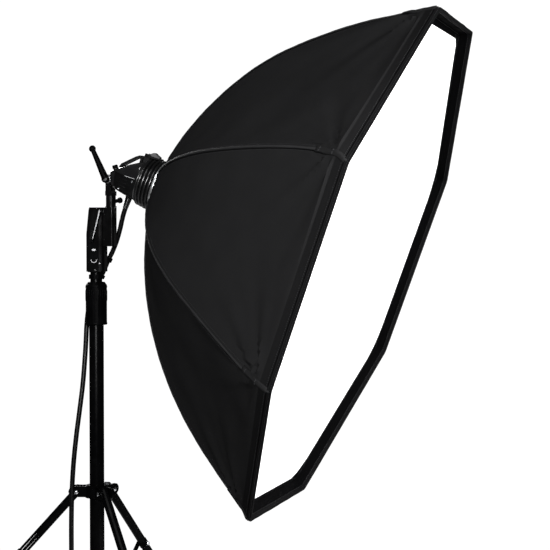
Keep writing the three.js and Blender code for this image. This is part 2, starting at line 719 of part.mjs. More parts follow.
// An eye round the cable at one of the route's points.
function eye(place, r, half) {
  const at = route[place];
  const along = wholeRoute.getTangent(place / (route.length - 1)).setLength(half);
  return bar(at.clone().sub(along), at.clone().add(along), r, r, 14);
}
const fromColumn = (geometry) => geometry.translate(0, COLUMN_Y, 0);
piece(
  group, "adapter_clip",
  carve(
    [eye(ADAPTER_CLIP_AT, 9, 4.5), block(14, 26, 121, 133, 1083, 1091)],
    [
      eye(ADAPTER_CLIP_AT, CABLE_R + 0.5, 20),
      fromColumn(loft([bodyRing(1070, 20, GAP), bodyRing(1105, 20, GAP)])),
    ],
  ),
  blackPlastic,
);
piece(
  group, "riser_clip",
  carve(
    [
      eye(RISER_CLIP_AT, 9, 3.6), block(15, 26, 142.5, 148.5, 1045, 1051),
      fromColumn(turned([
        [RISER_R + GAP, 1043], [17, 1043], [17, 1053], [RISER_R + GAP, 1053],
      ], 20)),
    ],
    [
      eye(RISER_CLIP_AT, CABLE_R + 0.5, 20),
      bar(v3(0, COLUMN_Y, 1035), v3(0, COLUMN_Y, 1059), RISER_R + GAP, RISER_R + GAP, 20),
    ],
  ),
  blackPlastic,
);
const CUT = 0.02; // leaves the gap between two stretches
const cable = (from, to, steps) => roundTube(new Stretch(from, to), CABLE_R, 8, steps);
piece(group, "cable_upper", cable(0, ADAPTER_CLIP_AT - CUT, 8), rubber);
piece(group, "cable_middle", cable(ADAPTER_CLIP_AT + CUT, RISER_CLIP_AT - CUT, 4), rubber);
piece(group, "cable_lower", cable(RISER_CLIP_AT + CUT, route.length - 1, 44), rubber);
piece(
  group, "cable_coil",
  turned([
    [COIL_R - 4 * CABLE_R, 0], [COIL_R + 4 * CABLE_R, 0], [COIL_R + 4 * CABLE_R, 4 * CABLE_R],
    [COIL_R - 4 * CABLE_R, 4 * CABLE_R],
  ], 30).translate(COIL_AT[0], COIL_AT[1], 0),
  rubber,
);
const plug = turned([
  [0, 0], [6.4, 0], [10.5, 34], [18, 36], [18, 92], [17, 94], [17, 118], [0, 118],
], 18).rotateY(-Math.PI / 2).translate(-273.3, 200, 18);
piece(group, "cable_connector", plug, blackPlastic);

export default group;
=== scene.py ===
import json
import math

import bmesh
import bpy
from mathutils import Matrix, Vector, noise


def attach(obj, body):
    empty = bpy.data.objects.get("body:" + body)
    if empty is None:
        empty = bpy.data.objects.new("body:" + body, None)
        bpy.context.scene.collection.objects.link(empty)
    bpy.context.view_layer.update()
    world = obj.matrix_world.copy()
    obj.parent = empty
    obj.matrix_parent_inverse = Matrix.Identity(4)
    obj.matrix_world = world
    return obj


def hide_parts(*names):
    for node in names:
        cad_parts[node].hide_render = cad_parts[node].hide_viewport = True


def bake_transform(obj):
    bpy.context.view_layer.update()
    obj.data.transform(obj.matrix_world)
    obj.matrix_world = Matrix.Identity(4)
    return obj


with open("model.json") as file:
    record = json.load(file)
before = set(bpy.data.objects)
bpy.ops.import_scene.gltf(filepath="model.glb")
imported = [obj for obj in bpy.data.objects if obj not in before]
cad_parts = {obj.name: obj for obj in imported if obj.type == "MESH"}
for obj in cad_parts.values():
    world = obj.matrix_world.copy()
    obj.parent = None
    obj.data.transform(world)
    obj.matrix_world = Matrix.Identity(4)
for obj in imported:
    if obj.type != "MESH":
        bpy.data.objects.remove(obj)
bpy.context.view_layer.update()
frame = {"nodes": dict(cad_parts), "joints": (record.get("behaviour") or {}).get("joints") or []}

TURN = 2 * math.pi
MM = 0.001
JOINTS = {j["name"]: j for j in frame["joints"]}

# ------------------------------------------------------------------ frames and driving sizes
HUB = Vector(JOINTS["head_tilt"]["pos_m"])
AXIS = Vector(JOINTS["softbox_roll"]["axis"]).normalized()
TILT = math.atan2(AXIS.z, AXIS.y)
COLUMN_Y = JOINTS["adapter_pan"]["pos_m"][1]
HUB_BACK = 645
HUB_DROP = 24.5
HEAD_LEAD = 11
ROOM = Matrix.Scale(MM, 4)
LAMP = Matrix.Translation(HUB) @ Matrix.Rotation(TILT, 4, "X")
HEAD = LAMP @ Matrix.Translation((0, -HUB_BACK * MM, HUB_DROP * MM)) @ ROOM
OPTIC = HEAD @ Matrix.Translation((0, HEAD_LEAD, 0))
STAND = Matrix.Translation((0, COLUMN_Y, 0)) @ ROOM
LENGTHWAYS = Matrix.Rotation(-TURN / 4, 4, "X")  # turns a lathe's height to the optical axis

# The frame that each body's pieces are drawn in, where it isn't the room.
SPACES = {
    "softbox": OPTIC, "head": HEAD, "collar_latch": HEAD, "adapter": STAND, "stand": STAND,
    "riser": STAND, "brace_slider": STAND,
}

SIDES = 8
CORNER_R = 610
LIP_DEPTH = 29.5
REAR_R = 72
DEPTH = 508
ROD_INSET = 9
CLOTH_LENGTH = 760
GORE_WIDTH = 464
DIFFUSER_R = 602.5
DIFFUSER_AT = 28.7
INNER_DIFFUSER_AT = 262
INNER_DIFFUSER_R = 412
COLLAR_FRONT = 528
COLLAR_BACK = 566
COLUMN_R = 16.8
COLUMN_BOTTOM, COLUMN_TOP = 60, 1018
RISER_R = 13.7
RISER_BOTTOM, RISER_TOP = 300, 1146
LEG_PIVOT_Z = 553
LEG_SPREAD = math.radians(42.1)  # from the vertical
BRACE = 200  # pin to pin, and leg pin to brace pin
CABLE_R = 5.65
COIL_R = 62
COIL_AT = (-230, 279)

# ------------------------------------------------------------------ camera, floor and lights
EYE = (-3.833, -1.2886, 1.194)
HEADING = (0.967, 0.2548)
PITCH = math.radians(2)
LENS = 116.1


def aim(obj, place, direction):
    obj.location = place
    obj.rotation_mode = "QUATERNION"
    obj.rotation_quaternion = Vector(direction).to_track_quat("-Z", "Y")
    bpy.context.scene.collection.objects.link(obj)
    return obj


def make_camera():
    lens = bpy.data.cameras.new("camera")
    lens.lens = LENS
    lens.sensor_width = 36
    lens.clip_end = 100
    ahead = (HEADING[0] * math.cos(PITCH), HEADING[1] * math.cos(PITCH), -math.sin(PITCH))
    bpy.context.scene.camera = aim(bpy.data.objects.new("camera", lens), EYE, ahead)


def area_light(name, place, target, size, power, spread):
    lamp = bpy.data.lights.new(name, "AREA")
    lamp.spread = math.radians(spread)
    lamp.shape = "RECTANGLE"
    lamp.size, lamp.size_y = size
    lamp.energy = power
    obj = aim(bpy.data.objects.new(name, lamp), place, Vector(target) - Vector(place))
    obj.visible_camera = False


def make_studio():
    area_light("key", (-2.1, 0.5, 4.1), (0, -0.1, 1.2), (0.8, 0.8), 4, 60)
    area_light("side", (-3.5, -0.75, 1.75), (0, -0.1, 1.25), (0.6, 0.6), 23, 60)
    area_light("front", (-0.9, -3.6, 1.7), (0, -0.45, 1.15), (2.2, 2.2), 125, 90)
    area_light("back_fill", (2.9, 2.1, 2.3), (0, -0.1, 1.25), (1.6, 1.6), 22, 70)
    world = bpy.data.worlds.new("studio")
    world.use_nodes = True
    bpy.context.scene.world = world
    nodes, links = world.node_tree.nodes, world.node_tree.links
    seen = nodes["Background"]
    seen.inputs["Color"].default_value = (1, 1, 1, 1)
    seen.inputs["Strength"].default_value = 1.05
    cast = nodes.new("ShaderNodeBackground")
    cast.inputs["Color"].default_value = (1, 1, 1, 1)
    cast.inputs["Strength"].default_value = 0.07
    mix = nodes.new("ShaderNodeMixShader")
    path = nodes.new("ShaderNodeLightPath")
    links.new(path.outputs["Is Camera Ray"], mix.inputs["Fac"])
    links.new(cast.outputs[0], mix.inputs[1])
    links.new(seen.outputs[0], mix.inputs[2])
    links.new(mix.outputs[0], nodes["World Output"].inputs["Surface"])
    bpy.context.scene.view_settings.view_transform = "Standard"


make_camera()
make_studio()


# ------------------------------------------------------------------ materials
class Finish:
    """A node material with a Principled shader, and the few procedural parts that the pieces use."""

    def __init__(self, name, colour, roughness, **sockets):
        self.material = bpy.data.materials.new(name)
        self.material.use_nodes = True
        self.material.diffuse_color = (*colour, 1)
        self.tree = self.material.node_tree
        self.shader = self.tree.nodes["Principled BSDF"]
        self.colour = colour
        self.roughness = roughness
        self.slot = None
        self.set("Base Color", (*colour, 1))
        self.set("Roughness", roughness)
        for key, value in sockets.items():
            self.set(key.replace("_", " "), value)

    def set(self, socket, value):
        self.shader.inputs[socket].default_value = value

    def node(self, kind, **inputs):
        made = self.tree.nodes.new("ShaderNode" + kind)
        for key, value in inputs.items():
            made.inputs[key.replace("_", " ")].default_value = value
        return made

    def link(self, start, end):
        self.tree.links.new(start, end)

    def coordinates(self, kind, scale=(1, 1, 1), turn=0):
        place = self.node("TexCoord")
        mapping = self.node("Mapping", Scale=scale, Rotation=(0, 0, turn))
        self.link(place.outputs[kind], mapping.inputs["Vector"])
        return mapping.outputs["Vector"]

    def noise(self, scale, detail, stretch=(1, 1, 1)):
        made = self.node("TexNoise", Scale=scale, Detail=detail)
        self.link(self.coordinates("Object", stretch), made.inputs["Vector"])
        return made.outputs["Fac"]

    def ramp(self, value, low, high, out_low=0.0, out_high=1.0):
        made = self.node("MapRange", From_Min=low, From_Max=high, To_Min=out_low, To_Max=out_high)
        self.link(value, made.inputs["Value"])
        return made.outputs["Result"]

    def math(self, operation, a, b):
        made = self.tree.nodes.new("ShaderNodeMath")
        made.operation = operation
        for socket, value in zip(made.inputs, (a, b)):
            if isinstance(value, (int, float)):
                socket.default_value = value
            else:
                self.link(value, socket)
        return made.outputs[0]

    def mix_colour(self, share, other):
        """The base colour goes over to another one by a share."""
        made = self.tree.nodes.new("ShaderNodeMix")
        made.data_type = "RGBA"
        made.inputs["A"].default_value = (*self.colour, 1)
        made.inputs["B"].default_value = (*other, 1)
        self.link(share, made.inputs["Factor"])
        self.link(made.outputs["Result"], self.shader.inputs["Base Color"])
        return self

    def vary_roughness(self, share, spread):
        self.link(
            self.ramp(share, 0.3, 0.7, self.roughness - spread, self.roughness + spread),
            self.shader.inputs["Roughness"],
        )
        return self

    def bump(self, height, strength, distance):
        made = self.node("Bump", Strength=strength, Distance=distance)
        self.link(height, made.inputs["Height"])
        previous = self.shader.inputs["Normal"]
        if previous.is_linked:
            self.link(previous.links[0].from_socket, made.inputs["Normal"])
        self.link(made.outputs["Normal"], previous)
        return self


def woven(name, colour, other, thread, roughness=0.75, twill=0.0, depth=0.00025, **sockets):
    """Cloth whose threads run along the two UV directions, which are in metres."""
    f = Finish(name, colour, roughness, **sockets)
    waves = []
    for direction in ("X", "Y"):
        wave = f.node("TexWave", Scale=1 / thread / 3.18, Distortion=0.4, Detail=1.0)
        wave.bands_direction = direction
        f.link(f.coordinates("UV", turn=twill), wave.inputs["Vector"])
        waves.append(wave.outputs["Fac"])
    cross = f.math("MULTIPLY", waves[0], waves[1])
    cloud = f.noise(14, 4)
    f.mix_colour(f.math("ADD", f.math("MULTIPLY", cross, 0.45), f.math("MULTIPLY", cloud, 0.5)), other)
    f.vary_roughness(cloud, 0.05)
    f.bump(f.noise(160, 2), 0.12, 0.0004)
    return f.bump(cross, 0.5, depth)


def painted(name, colour, other, roughness, **sockets):
    """Black coating on metal: faint orange peel, worn and dusty in places."""
    f = Finish(name, colour, roughness, **sockets)
    f.mix_colour(f.ramp(f.noise(55, 6), 0.5, 0.75), other)
    f.vary_roughness(f.noise(24, 4), 0.07)
    return f.bump(f.noise(900, 2), 0.1, 0.0001)


def moulded(name, colour, other, roughness, grain=1400, depth=0.00012, **sockets):
    """Moulded plastic or rubber with a fine spark-eroded grain."""
    f = Finish(name, colour, roughness, **sockets)
    f.mix_colour(f.ramp(f.noise(40, 5), 0.45, 0.8), other)
    f.vary_roughness(f.noise(60, 3), 0.06)
    return f.bump(f.noise(grain, 3), 0.35, depth)


def machined(name, colour, roughness, along):
    """Bare metal with fine lines across one direction."""
    f = Finish(name, colour, roughness, Metallic=1.0)
    stretch = {"X": (1, 40, 40), "Z": (40, 40, 1), "Y": (40, 1, 40)}[along]
    lines = f.noise(30, 3, stretch)
    f.mix_colour(f.ramp(f.noise(70, 4), 0.4, 0.8), [0.72 * c for c in colour])
    f.vary_roughness(lines, 0.08)
    return f.bump(lines, 0.15, 0.00005)


def thread(name, colour, other, roughness, **sockets):
    """Sewing thread with its twist."""
    f = Finish(name, colour, roughness, **sockets)
    f.mix_colour(f.noise(90, 3), other)
    return f.bump(f.noise(1500, 2), 0.4, 0.0001)


CANOPY = woven(
    "canopy_weave", (0.0075, 0.0075, 0.0078), (0.012, 0.012, 0.0123), 0.0011,
    Specular_IOR_Level=0.0,
)
LINING = Finish("silver_lining", (0.55, 0.55, 0.55), 0.3, Metallic=0.85)
LINING.mix_colour(LINING.noise(35, 5), (0.42, 0.42, 0.43))
LINING.bump(LINING.noise(70, 5), 0.4, 0.0008)
WELT = woven("welt_tape", (0.0125, 0.0125, 0.013), (0.02, 0.02, 0.0206), 0.0014, Specular_IOR_Level=0.03)
THREAD = thread("black_thread", (0.02, 0.02, 0.021), (0.02, 0.02, 0.022), 0.45, Specular_IOR_Level=0.1)
LIP = woven(
    "loop_tape", (0.0005, 0.0005, 0.0006), (0.0012, 0.0012, 0.0013), 0.0016, roughness=0.95,
    depth=0.0006, Specular_IOR_Level=0.015,
)
HEM = woven(
    "hem_binding", (0.0022, 0.0022, 0.0023), (0.004, 0.004, 0.0042), 0.0013, twill=0.7,
    Specular_IOR_Level=0.01,
)
WHITE = woven(
    "diffusion_cloth", (0.93, 0.93, 0.93), (0.87, 0.87, 0.875), 0.0009, roughness=0.8,
    depth=0.00012, Specular_IOR_Level=0.2,
)
WHITE_THREAD = thread("white_thread", (0.8, 0.8, 0.79), (0.7, 0.7, 0.69), 0.5)
ELASTIC = woven("black_elastic", (0.012, 0.012, 0.012), (0.03, 0.03, 0.03), 0.0012)
PAINT = painted(
    "stand_enamel", (0.001, 0.001, 0.0011), (0.002, 0.002, 0.0022), 0.26, Specular_IOR_Level=0.02,
)
GLOSS = painted(
    "adapter_gloss", (0.0012, 0.0012, 0.0013), (0.0022, 0.0022, 0.0024), 0.2, Specular_IOR_Level=0.14,
)
HOUSING = moulded(
    "housing_shell", (0.0015, 0.0015, 0.0016), (0.003, 0.003, 0.0032), 0.34, Specular_IOR_Level=0.15,
)
UPPER_SHELL = moulded(
    "housing_upper", (0.003, 0.003, 0.0033), (0.005, 0.005, 0.0055), 0.17, 2200, 0.00005,
    Specular_IOR_Level=0.7, Coat_Weight=0.5, Coat_Roughness=0.1,
)
RUBBER = moulded(
    "collar_rubber", (0.0012, 0.0012, 0.0013), (0.002, 0.002, 0.0022), 0.3, 1800, 0.00001,
    Specular_IOR_Level=0.42,
)
NYLON = moulded(
    "glass_filled_nylon", (0.0008, 0.0008, 0.0009), (0.0018, 0.0018, 0.002), 0.36,
    Specular_IOR_Level=0.015,
)
GREY = moulded("grey_moulding", (0.03, 0.03, 0.0315), (0.046, 0.046, 0.048), 0.48)
# A darker copy of the canopy weave for the cloth over the lip: painted shade along the front edge.
SHADED_EDGE_CLOTH = woven(
    "edge_weave_painted_shade", (0.0045, 0.0045, 0.0047), (0.0075, 0.0075, 0.0077), 0.0011, Specular_IOR_Level=0.0,
)
JACKET = moulded(
    "cable_jacket", (0.0012, 0.0012, 0.0013), (0.0026, 0.0026, 0.0028), 0.36, 900, 0.0001,
    Specular_IOR_Level=0.1,
)
STEEL = machined("spring_steel", (0.55, 0.56, 0.58), 0.25, "Y")
ALLOY = machined("turned_alloy", (0.68, 0.69, 0.7), 0.3, "X")
SCREW = machined("screw_steel", (0.6, 0.61, 0.63), 0.25, "Z")
FROSTED = Finish("frosted_glass", (0.93, 0.93, 0.9), 0.45, Transmission_Weight=0.5, IOR=1.47)
FROSTED.vary_roughness(FROSTED.noise(300, 3), 0.08)
FROSTED.bump(FROSTED.noise(700, 2), 0.3, 0.0001)
# Pale diffuse colour for bright edges and spots on dark parts: painted highlights, not a metal finish.
PAINTED_HIGHLIGHT = moulded("pale_painted_highlight", (0.4, 0.4, 0.41), (0.5, 0.5, 0.51), 0.35)
PAINTED_MARK = moulded("pale_index", (0.5, 0.5, 0.5), (0.6, 0.6, 0.6), 0.5)
TIE_WEB = woven("tie_webbing", (0.01, 0.01, 0.011), (0.022, 0.022, 0.023), 0.0012, twill=0.8)
# The record's slot that a finish fills.
for slot, finishes in {
    "canopy_cloth": (CANOPY, WELT, THREAD), "lip_cloth": (LIP, HEM, TIE_WEB, ELASTIC),
    "diffuser_cloth": (WHITE, WHITE_THREAD), "stand_metal": (PAINT, GLOSS),
    "housing_plastic": (HOUSING, UPPER_SHELL), "grip_rubber": (RUBBER,), "clamp_plastic": (NYLON,),
    "grey_plastic": (GREY, PAINTED_MARK), "cable_rubber": (JACKET,), "ring_alloy": (ALLOY,),
    "rod_steel": (STEEL, SCREW, PAINTED_HIGHLIGHT), "frosted_glass": (FROSTED,),
}.items():
    for finish in finishes:
        finish.slot = slot


# ------------------------------------------------------------------ shapes
class Shape:
    """Points, faces and texture places of one piece, added up part by part."""

    def __init__(self):
        self.points, self.faces, self.places = [], [], []

    def add(self, points, faces, places=None):
        start = len(self.points)
        self.points += [Vector(p) for p in points]
        self.faces += [[start + i for i in f] for f in faces]
        self.places += list(places) if places else [(0.0, 0.0)] * len(points)
        return self

    def join(self, other, matrix=None):
        moved = [matrix @ p for p in other.points] if matrix else other.points
        return self.add(moved, other.faces, other.places)

    def join_round(self, other, count):
        """Adds the same part several times at equal turns about Z."""
        for i in range(count):
            self.join(other, Matrix.Rotation(TURN * i / count, 4, "Z"))


def grid_faces(rows, columns, wrap_rows=False, wrap_columns=False):
    """Faces of a grid of rows by columns of points."""
    faces = []
    for i in range(rows if wrap_rows else rows - 1):
        for j in range(columns if wrap_columns else columns - 1):
            a, b = i * columns, (i + 1) % rows * columns
            k = (j + 1) % columns
            faces.append([a + j, a + k, b + k, b + j])
    return faces


def loft(rings, loop=False):
    """A closed shape through rings of equal numbers of points; loop joins the last to the first."""
    n = len(rings[0])
    faces = grid_faces(len(rings), n, loop, True)
    if not loop:
        last = (len(rings) - 1) * n
        faces += [list(range(n))[::-1], [last + j for j in range(n)]]
    along, places = 0.0, []
    for i, ring in enumerate(rings):
        if i:
            along += (Vector(ring[0]) - Vector(rings[i - 1][0])).length
        around = 0.0
        for j, p in enumerate(ring):
            if j:
                around += (Vector(p) - Vector(ring[j - 1])).length
            places.append((along * MM, around * MM))
    return Shape().add([p for ring in rings for p in ring], faces, places)


def arc_corner(before, corner, after, radius, steps):
    """Points that round a corner of a flat outline."""
    b, c, a = Vector(before), Vector(corner), Vector(after)
    reach = min(radius, 0.45 * (b - c).length, 0.45 * (a - c).length)
    start, end = c + (b - c).normalized() * reach, c + (a - c).normalized() * reach
    found = []
    for i in range(steps + 1):
        t = i / steps
        found.append(tuple((1 - t) ** 2 * start + 2 * t * (1 - t) * c + t * t * end))
    return found


def rounded(outline, radius, steps):
    n = len(outline)
    found = []
    for i in range(n):
        found += arc_corner(outline[i - 1], outline[i], outline[(i + 1) % n], radius, steps)
    return found


def on_circle(r, a, z=0):
    return Vector((r * math.cos(a), r * math.sin(a), z))


def lathe(outline, segments, radius, steps=2):
    """A closed outline of (radius, height) turned about +Z, with its corners rounded."""
    soft = rounded(outline, radius, steps) if radius else outline
    rings = [[on_circle(r, TURN * i / segments, z) for r, z in soft] for i in range(segments)]
    return loft(rings, loop=True)


def hoop(inner, outer, low, high, segments, radius):
    """A ring of square section about +Z, with soft edges."""
    return lathe([(inner, low), (outer, low), (outer, high), (inner, high)], segments, radius)


def solid_lathe(outline, segments):
    """A lathe for an outline whose two ends are closed by flat caps."""
    return loft([[on_circle(r, TURN * i / segments, z) for i in range(segments)] for r, z in outline])


def tube(path, radius, sides, flatten=1.0, up=None, loop=False):
    """A tube along a path; radius may be a list, and flatten squeezes it along `up`."""
    path = [Vector(p) for p in path]
    n = len(path)
    radii = radius if isinstance(radius, (list, tuple)) else [radius] * n
    rings = []
    side = None
    for i, p in enumerate(path):
        before = path[i - 1] if i or loop else path[0]
        after = path[(i + 1) % n] if i + 1 < n or loop else path[-1]
        along = (after - before).normalized()
        if up:
            side = along.cross(Vector(up[i])).normalized()
        elif side is None:
            side = along.orthogonal().normalized()
        else:
            side = (side - along * side.dot(along)).normalized()
        rise = side.cross(along)
        ring = []
        for j in range(sides):
            a = TURN * j / sides
            ring.append(p + radii[i] * (side * math.cos(a) + rise * math.sin(a) * flatten))
        rings.append(ring)
    return loft(rings, loop)


def prism(outline, low, high, radius=0.0, steps=3):
    """An outline in X and Y raised from one height to another."""
    flat = rounded(outline, radius, steps) if radius else outline
    return loft([[(x, y, low) for x, y in flat], [(x, y, high) for x, y in flat]])


def block(x0, x1, y0, y1, z0, z1):
    return prism([(x0, y0), (x1, y0), (x1, y1), (x0, y1)], z0, z1)


def frame_on(origin, z, x=None):
    """A frame in millimetres with its Z axis along z, and X near x."""
    z = Vector(z).normalized()
    x = Vector(x) if x is not None else z.orthogonal()
    y = z.cross(x).normalized()
    x = y.cross(z)
    turn = Matrix((x, y, z)).transposed().to_4x4()
    return Matrix.Translation(origin) @ turn


def hexagon(r):
    return [on_circle(r, TURN * i / 6).xy for i in range(6)]


def socket_screw(r, height):
    """A cap screw's head with its hexagonal socket, standing on Z 0."""
    n = 24
    rings = []
    for radius, z in [(r, 0), (r, height - 0.5), (r - 0.5, height), (0.62 * r, height)]:
        rings.append([on_circle(radius, TURN * i / n, z) for i in range(n)])
    for z in (height, 0.35 * height):
        socket = []
        for i in range(n):
            a = TURN * i / n
            socket.append(on_circle(0.5 * r / math.cos((a % (TURN / 6)) - TURN / 12), a, z))
        rings.append(socket)
    return loft(rings)


# ------------------------------------------------------------------ pieces
def tidy(obj, bevel, angle):
    """Soft edges: a small bevel, then normals that keep flat faces flat."""
    if bevel:
        cut = obj.modifiers.new("edge", "BEVEL")
        cut.width = bevel * MM
        cut.segments = 2
        cut.limit_method = "ANGLE"
        cut.angle_limit = math.radians(angle)
        cut.use_clamp_overlap = True
        level = obj.modifiers.new("normals", "WEIGHTED_NORMAL")
        level.keep_sharp = True
    else:
        obj.data.set_sharp_from_angle(angle=math.radians(angle))


def new_piece(name, shape, finish, body=None, space=None, bevel=0.0, angle=35,
              replaces=(), extra=()):
    """Makes a mesh object from a shape drawn in its body's frame or another, and lets it ride."""
    space = space or SPACES.get(body, ROOM)
    mesh = bpy.data.meshes.new(name)
    mesh.from_pydata([space @ p for p in shape.points], [], shape.faces)
    mesh.validate()
    layer = mesh.uv_layers.new(name="cloth")
    for loop in mesh.loops:
        layer.data[loop.index].uv = shape.places[loop.vertex_index]
    for f in (finish, *extra):
        mesh.materials.append(f.material)
    mesh.polygons.foreach_set("use_smooth", [True] * len(mesh.polygons))
    obj = bpy.data.objects.new(name, mesh)
    bpy.context.scene.collection.objects.link(obj)
    outward(mesh)
    tidy(obj, bevel, angle)
    if replaces:
        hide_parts(*replaces)
    if body:
        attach(obj, body)
    return obj


def thicken(obj, thickness, offset=0):
    """Gives cloth its thickness, in millimetres."""
    thick = obj.modifiers.new("cloth", "SOLIDIFY")
    thick.thickness = thickness * MM
    thick.offset = offset
    return thick


def outward(mesh):
    """Turns a closed mesh's faces out, part by part."""
    work = bmesh.new()
    work.from_mesh(mesh)
    bmesh.ops.recalc_face_normals(work, faces=work.faces)
    work.to_mesh(mesh)
    work.free()


def dress(node, finish, bevel):
    """A CAD node that stays gets its material, and soft edges from modifiers."""
    obj = frame["nodes"][node]
    if not obj.data.materials:
        obj.data.materials.append(finish.material)
    for place in obj.material_slots:
        place.link = "OBJECT"
        place.material = finish.material
    obj.data.polygons.foreach_set("use_smooth", [True] * len(obj.data.polygons))
    flat = obj.modifiers.new("join flat faces", "DECIMATE")
    flat.decimate_type = "DISSOLVE"
    flat.angle_limit = math.radians(0.5)
    tidy(obj, bevel, 30)


# ------------------------------------------------------------------ cable
# The route's own points, as in the CAD source, in metres.
ROUTE = [
    (0.021, 0.0824, 1.2049), (0.0213, 0.0853, 1.197), (0.0224, 0.09, 1.182),
    (0.0248, 0.0966, 1.158), (0.0276, 0.1064, 1.129), (0.0296, 0.1186, 1.102),
    (0.0306, 0.1272, 1.087), (0.031, 0.1366, 1.066), (0.0309, 0.1456, 1.048),
    (0.0298, 0.1526, 1.034), (0.0262, 0.1626, 1.01), (0.021, 0.1698, 0.988),
    (0.0165, 0.1732, 0.962), (0.0115, 0.1744, 0.932), (0.004, 0.1736, 0.893),
    (-0.005, 0.1734, 0.85), (-0.013, 0.175, 0.8), (-0.022, 0.179, 0.745),
    (-0.03, 0.1845, 0.685), (-0.036, 0.1895, 0.62), (-0.039, 0.1925, 0.555),
    (-0.0405, 0.1935, 0.49), (-0.041, 0.1935, 0.42), (-0.041, 0.1935, 0.35),
    (-0.041, 0.1935, 0.28), (-0.041, 0.194, 0.215), (-0.044, 0.195, 0.16),
    (-0.055, 0.1965, 0.106), (-0.076, 0.198, 0.059), (-0.108, 0.1995, 0.024),
    (-0.146, 0.2, 0.0076), (-0.1873, 0.2, 0.00565),
]
ADAPTER_CLIP_AT = 6
RISER_CLIP_AT = 8
CONNECTOR_AT = Vector((-0.2733, 0.2, 0.018))
COIL_TURNS = 4  # in each of the two layers


def along_route(first, last, steps):
    """Centripetal Catmull-Rom curve through the route's points."""
    points = [Vector(p) for p in ROUTE]
    points = [2 * points[0] - points[1], *points, 2 * points[-1] - points[-2]]
    found = []
    for i in range(first, last):
        a, b, c, d = points[i:i + 4]
        ta, tb, tc = ((q - p).length ** 0.5 for p, q in ((a, b), (b, c), (c, d)))
        m1 = (b - a) / ta - (c - a) / (ta + tb) + (c - b) / tb
        m2 = (c - b) / tb - (d - b) / (tb + tc) + (d - c) / tc
        for j in range(steps):
            t = j / steps
            h = (2 * t**3 - 3 * t**2 + 1, t**3 - 2 * t**2 + t, 3 * t**2 - 2 * t**3, t**3 - t**2)
            found.append(h[0] * b + h[1] * tb * m1 + h[2] * c + h[3] * tb * m2)
    found.append(points[last + 1])
    return found


def coil_path():
    """Four turns inwards on the floor, then four outwards on top of them, seen from above clockwise."""
    centre = Vector((COIL_AT[0], COIL_AT[1], 0)) * MM
    step = 2 * CABLE_R
    outer = COIL_R + 1.5 * step
    found = []
    per_turn = 48
    whole = 2 * COIL_TURNS * per_turn
    for i in range(whole + 1):
        turn, share = divmod(i / per_turn, 1)
        lane = turn if turn < COIL_TURNS else 2 * COIL_TURNS - 1 - turn
        to_next = {COIL_TURNS - 1: 0, 2 * COIL_TURNS - 1: 0}.get(turn, 1 if turn < COIL_TURNS else -1)
        slide = max(0.0, (share - 0.8) / 0.2)
        slide = slide * slide * (3 - 2 * slide)
        r = outer - step * (min(lane, COIL_TURNS - 1) + to_next * slide)
        rise = min(1.0, max(0.0, (i / per_turn - COIL_TURNS + 0.35) / 0.35))
        z = CABLE_R + step * 0.985 * rise * rise * (3 - 2 * rise)
        if i == whole:
            r, z = outer, CABLE_R + step * 0.985
        a = -TURN / 4 - TURN * i / per_turn
        found.append(centre + on_circle(r, a, z) * MM)
    return found


def cable_mesh(name, path, nodes):
    """A round cable along a path, made as one mesh with its transform baked in."""
    obj = new_piece(name, tube([p / MM for p in path], CABLE_R, 18), JACKET, replaces=nodes)
    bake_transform(obj)
    return obj


def make_connector():
    """The lamp connector: ribbed strain relief, gripped body, locking ring and contact face."""
    shape = Shape()
    ribs = [(0.5, 0), (6.2, 0)]
    for i in range(7):
        at = 3 + 4.3 * i
        r = 6.6 + 0.55 * i
        ribs += [(r - 0.5, at), (r + 0.5, at + 0.6), (r + 0.6, at + 2.4), (r - 0.3, at + 3)]
    ribs += [(10.6, 34), (0.5, 34)]
    shape.join(solid_lathe(ribs, 40))
    shape.join(lathe([(0.6, 34), (14.5, 34), (17.2, 38), (17.2, 90), (0.6, 90)], 64, 1.6))
    shape.join_round(tube([(17.1, 0, 44), (17.3, 0, 46), (17.3, 0, 82), (17.1, 0, 84)], 0.75, 6), 28)
    shape.join(hoop(6, 17.9, 91, 108, 72, 1.0))
    shape.join_round(block(17.3, 18.3, -0.7, 0.7, 93, 106), 36)
    shape.join(hoop(13.2, 16.2, 108, 118, 64, 0.5))
    shape.join(solid_lathe([(0.4, 108), (13.3, 108), (13.3, 112), (0.4, 112)], 48))
    space = frame_on(CONNECTOR_AT, (-1, 0, 0), (0, 0, 1)) @ ROOM
    body = new_piece("cable_connector_body", shape, NYLON, "stand", space,
                     replaces=["cable_connector"])
    pins = Shape()
    for i in range(5):
        a = TURN * (i + 0.5) / 5
        spot = Matrix.Translation(on_circle(8, a))
        pins.join(solid_lathe([(0.2, 111), (1.3, 111), (1.3, 116.3), (0.7, 117), (0.2, 117)], 16), spot)
    pins.join(hoop(12.2, 13.1, 111.5, 117.6, 48, 0.2))
    return body, new_piece("connector_contacts", pins, ALLOY, "stand", space)


def make_tie():
    """A hook-and-loop strap round the coil's turns, with its free end on top."""
    inner, outer, top = COIL_R - 4 * CABLE_R - 1, COIL_R + 4 * CABLE_R + 1, 4 * CABLE_R + 0.9
    ring = rounded([(inner, 0.2), (outer, 0.2), (outer, top), (inner, top)], 5, 5)
    thick = 1.1
    middle = Vector((COIL_R, 2 * CABLE_R))
    shape = Shape()
    rows = []
    for r, z in ring:
        p = Vector((r, z))
        out = p + (p - middle).normalized() * thick
        out.y = max(0.05, out.y)
        rows.append([(r, -8, z), (r, 8, z), (out.x, 8, out.y), (out.x, -8, out.y)])
    shape.join(loft(rows, loop=True))
    shape.join(prism([(inner + 9, -8), (outer - 4, -8), (outer - 1.5, 0), (outer - 4, 8), (inner + 9, 8)],
                     top + 0.8, top + 2.2, 1.5))
    space = Matrix.Translation((COIL_AT[0] * MM, COIL_AT[1] * MM, 0)) @ ROOM
    return new_piece("cable_tie", shape, TIE_WEB, "stand", space, bevel=0.3)


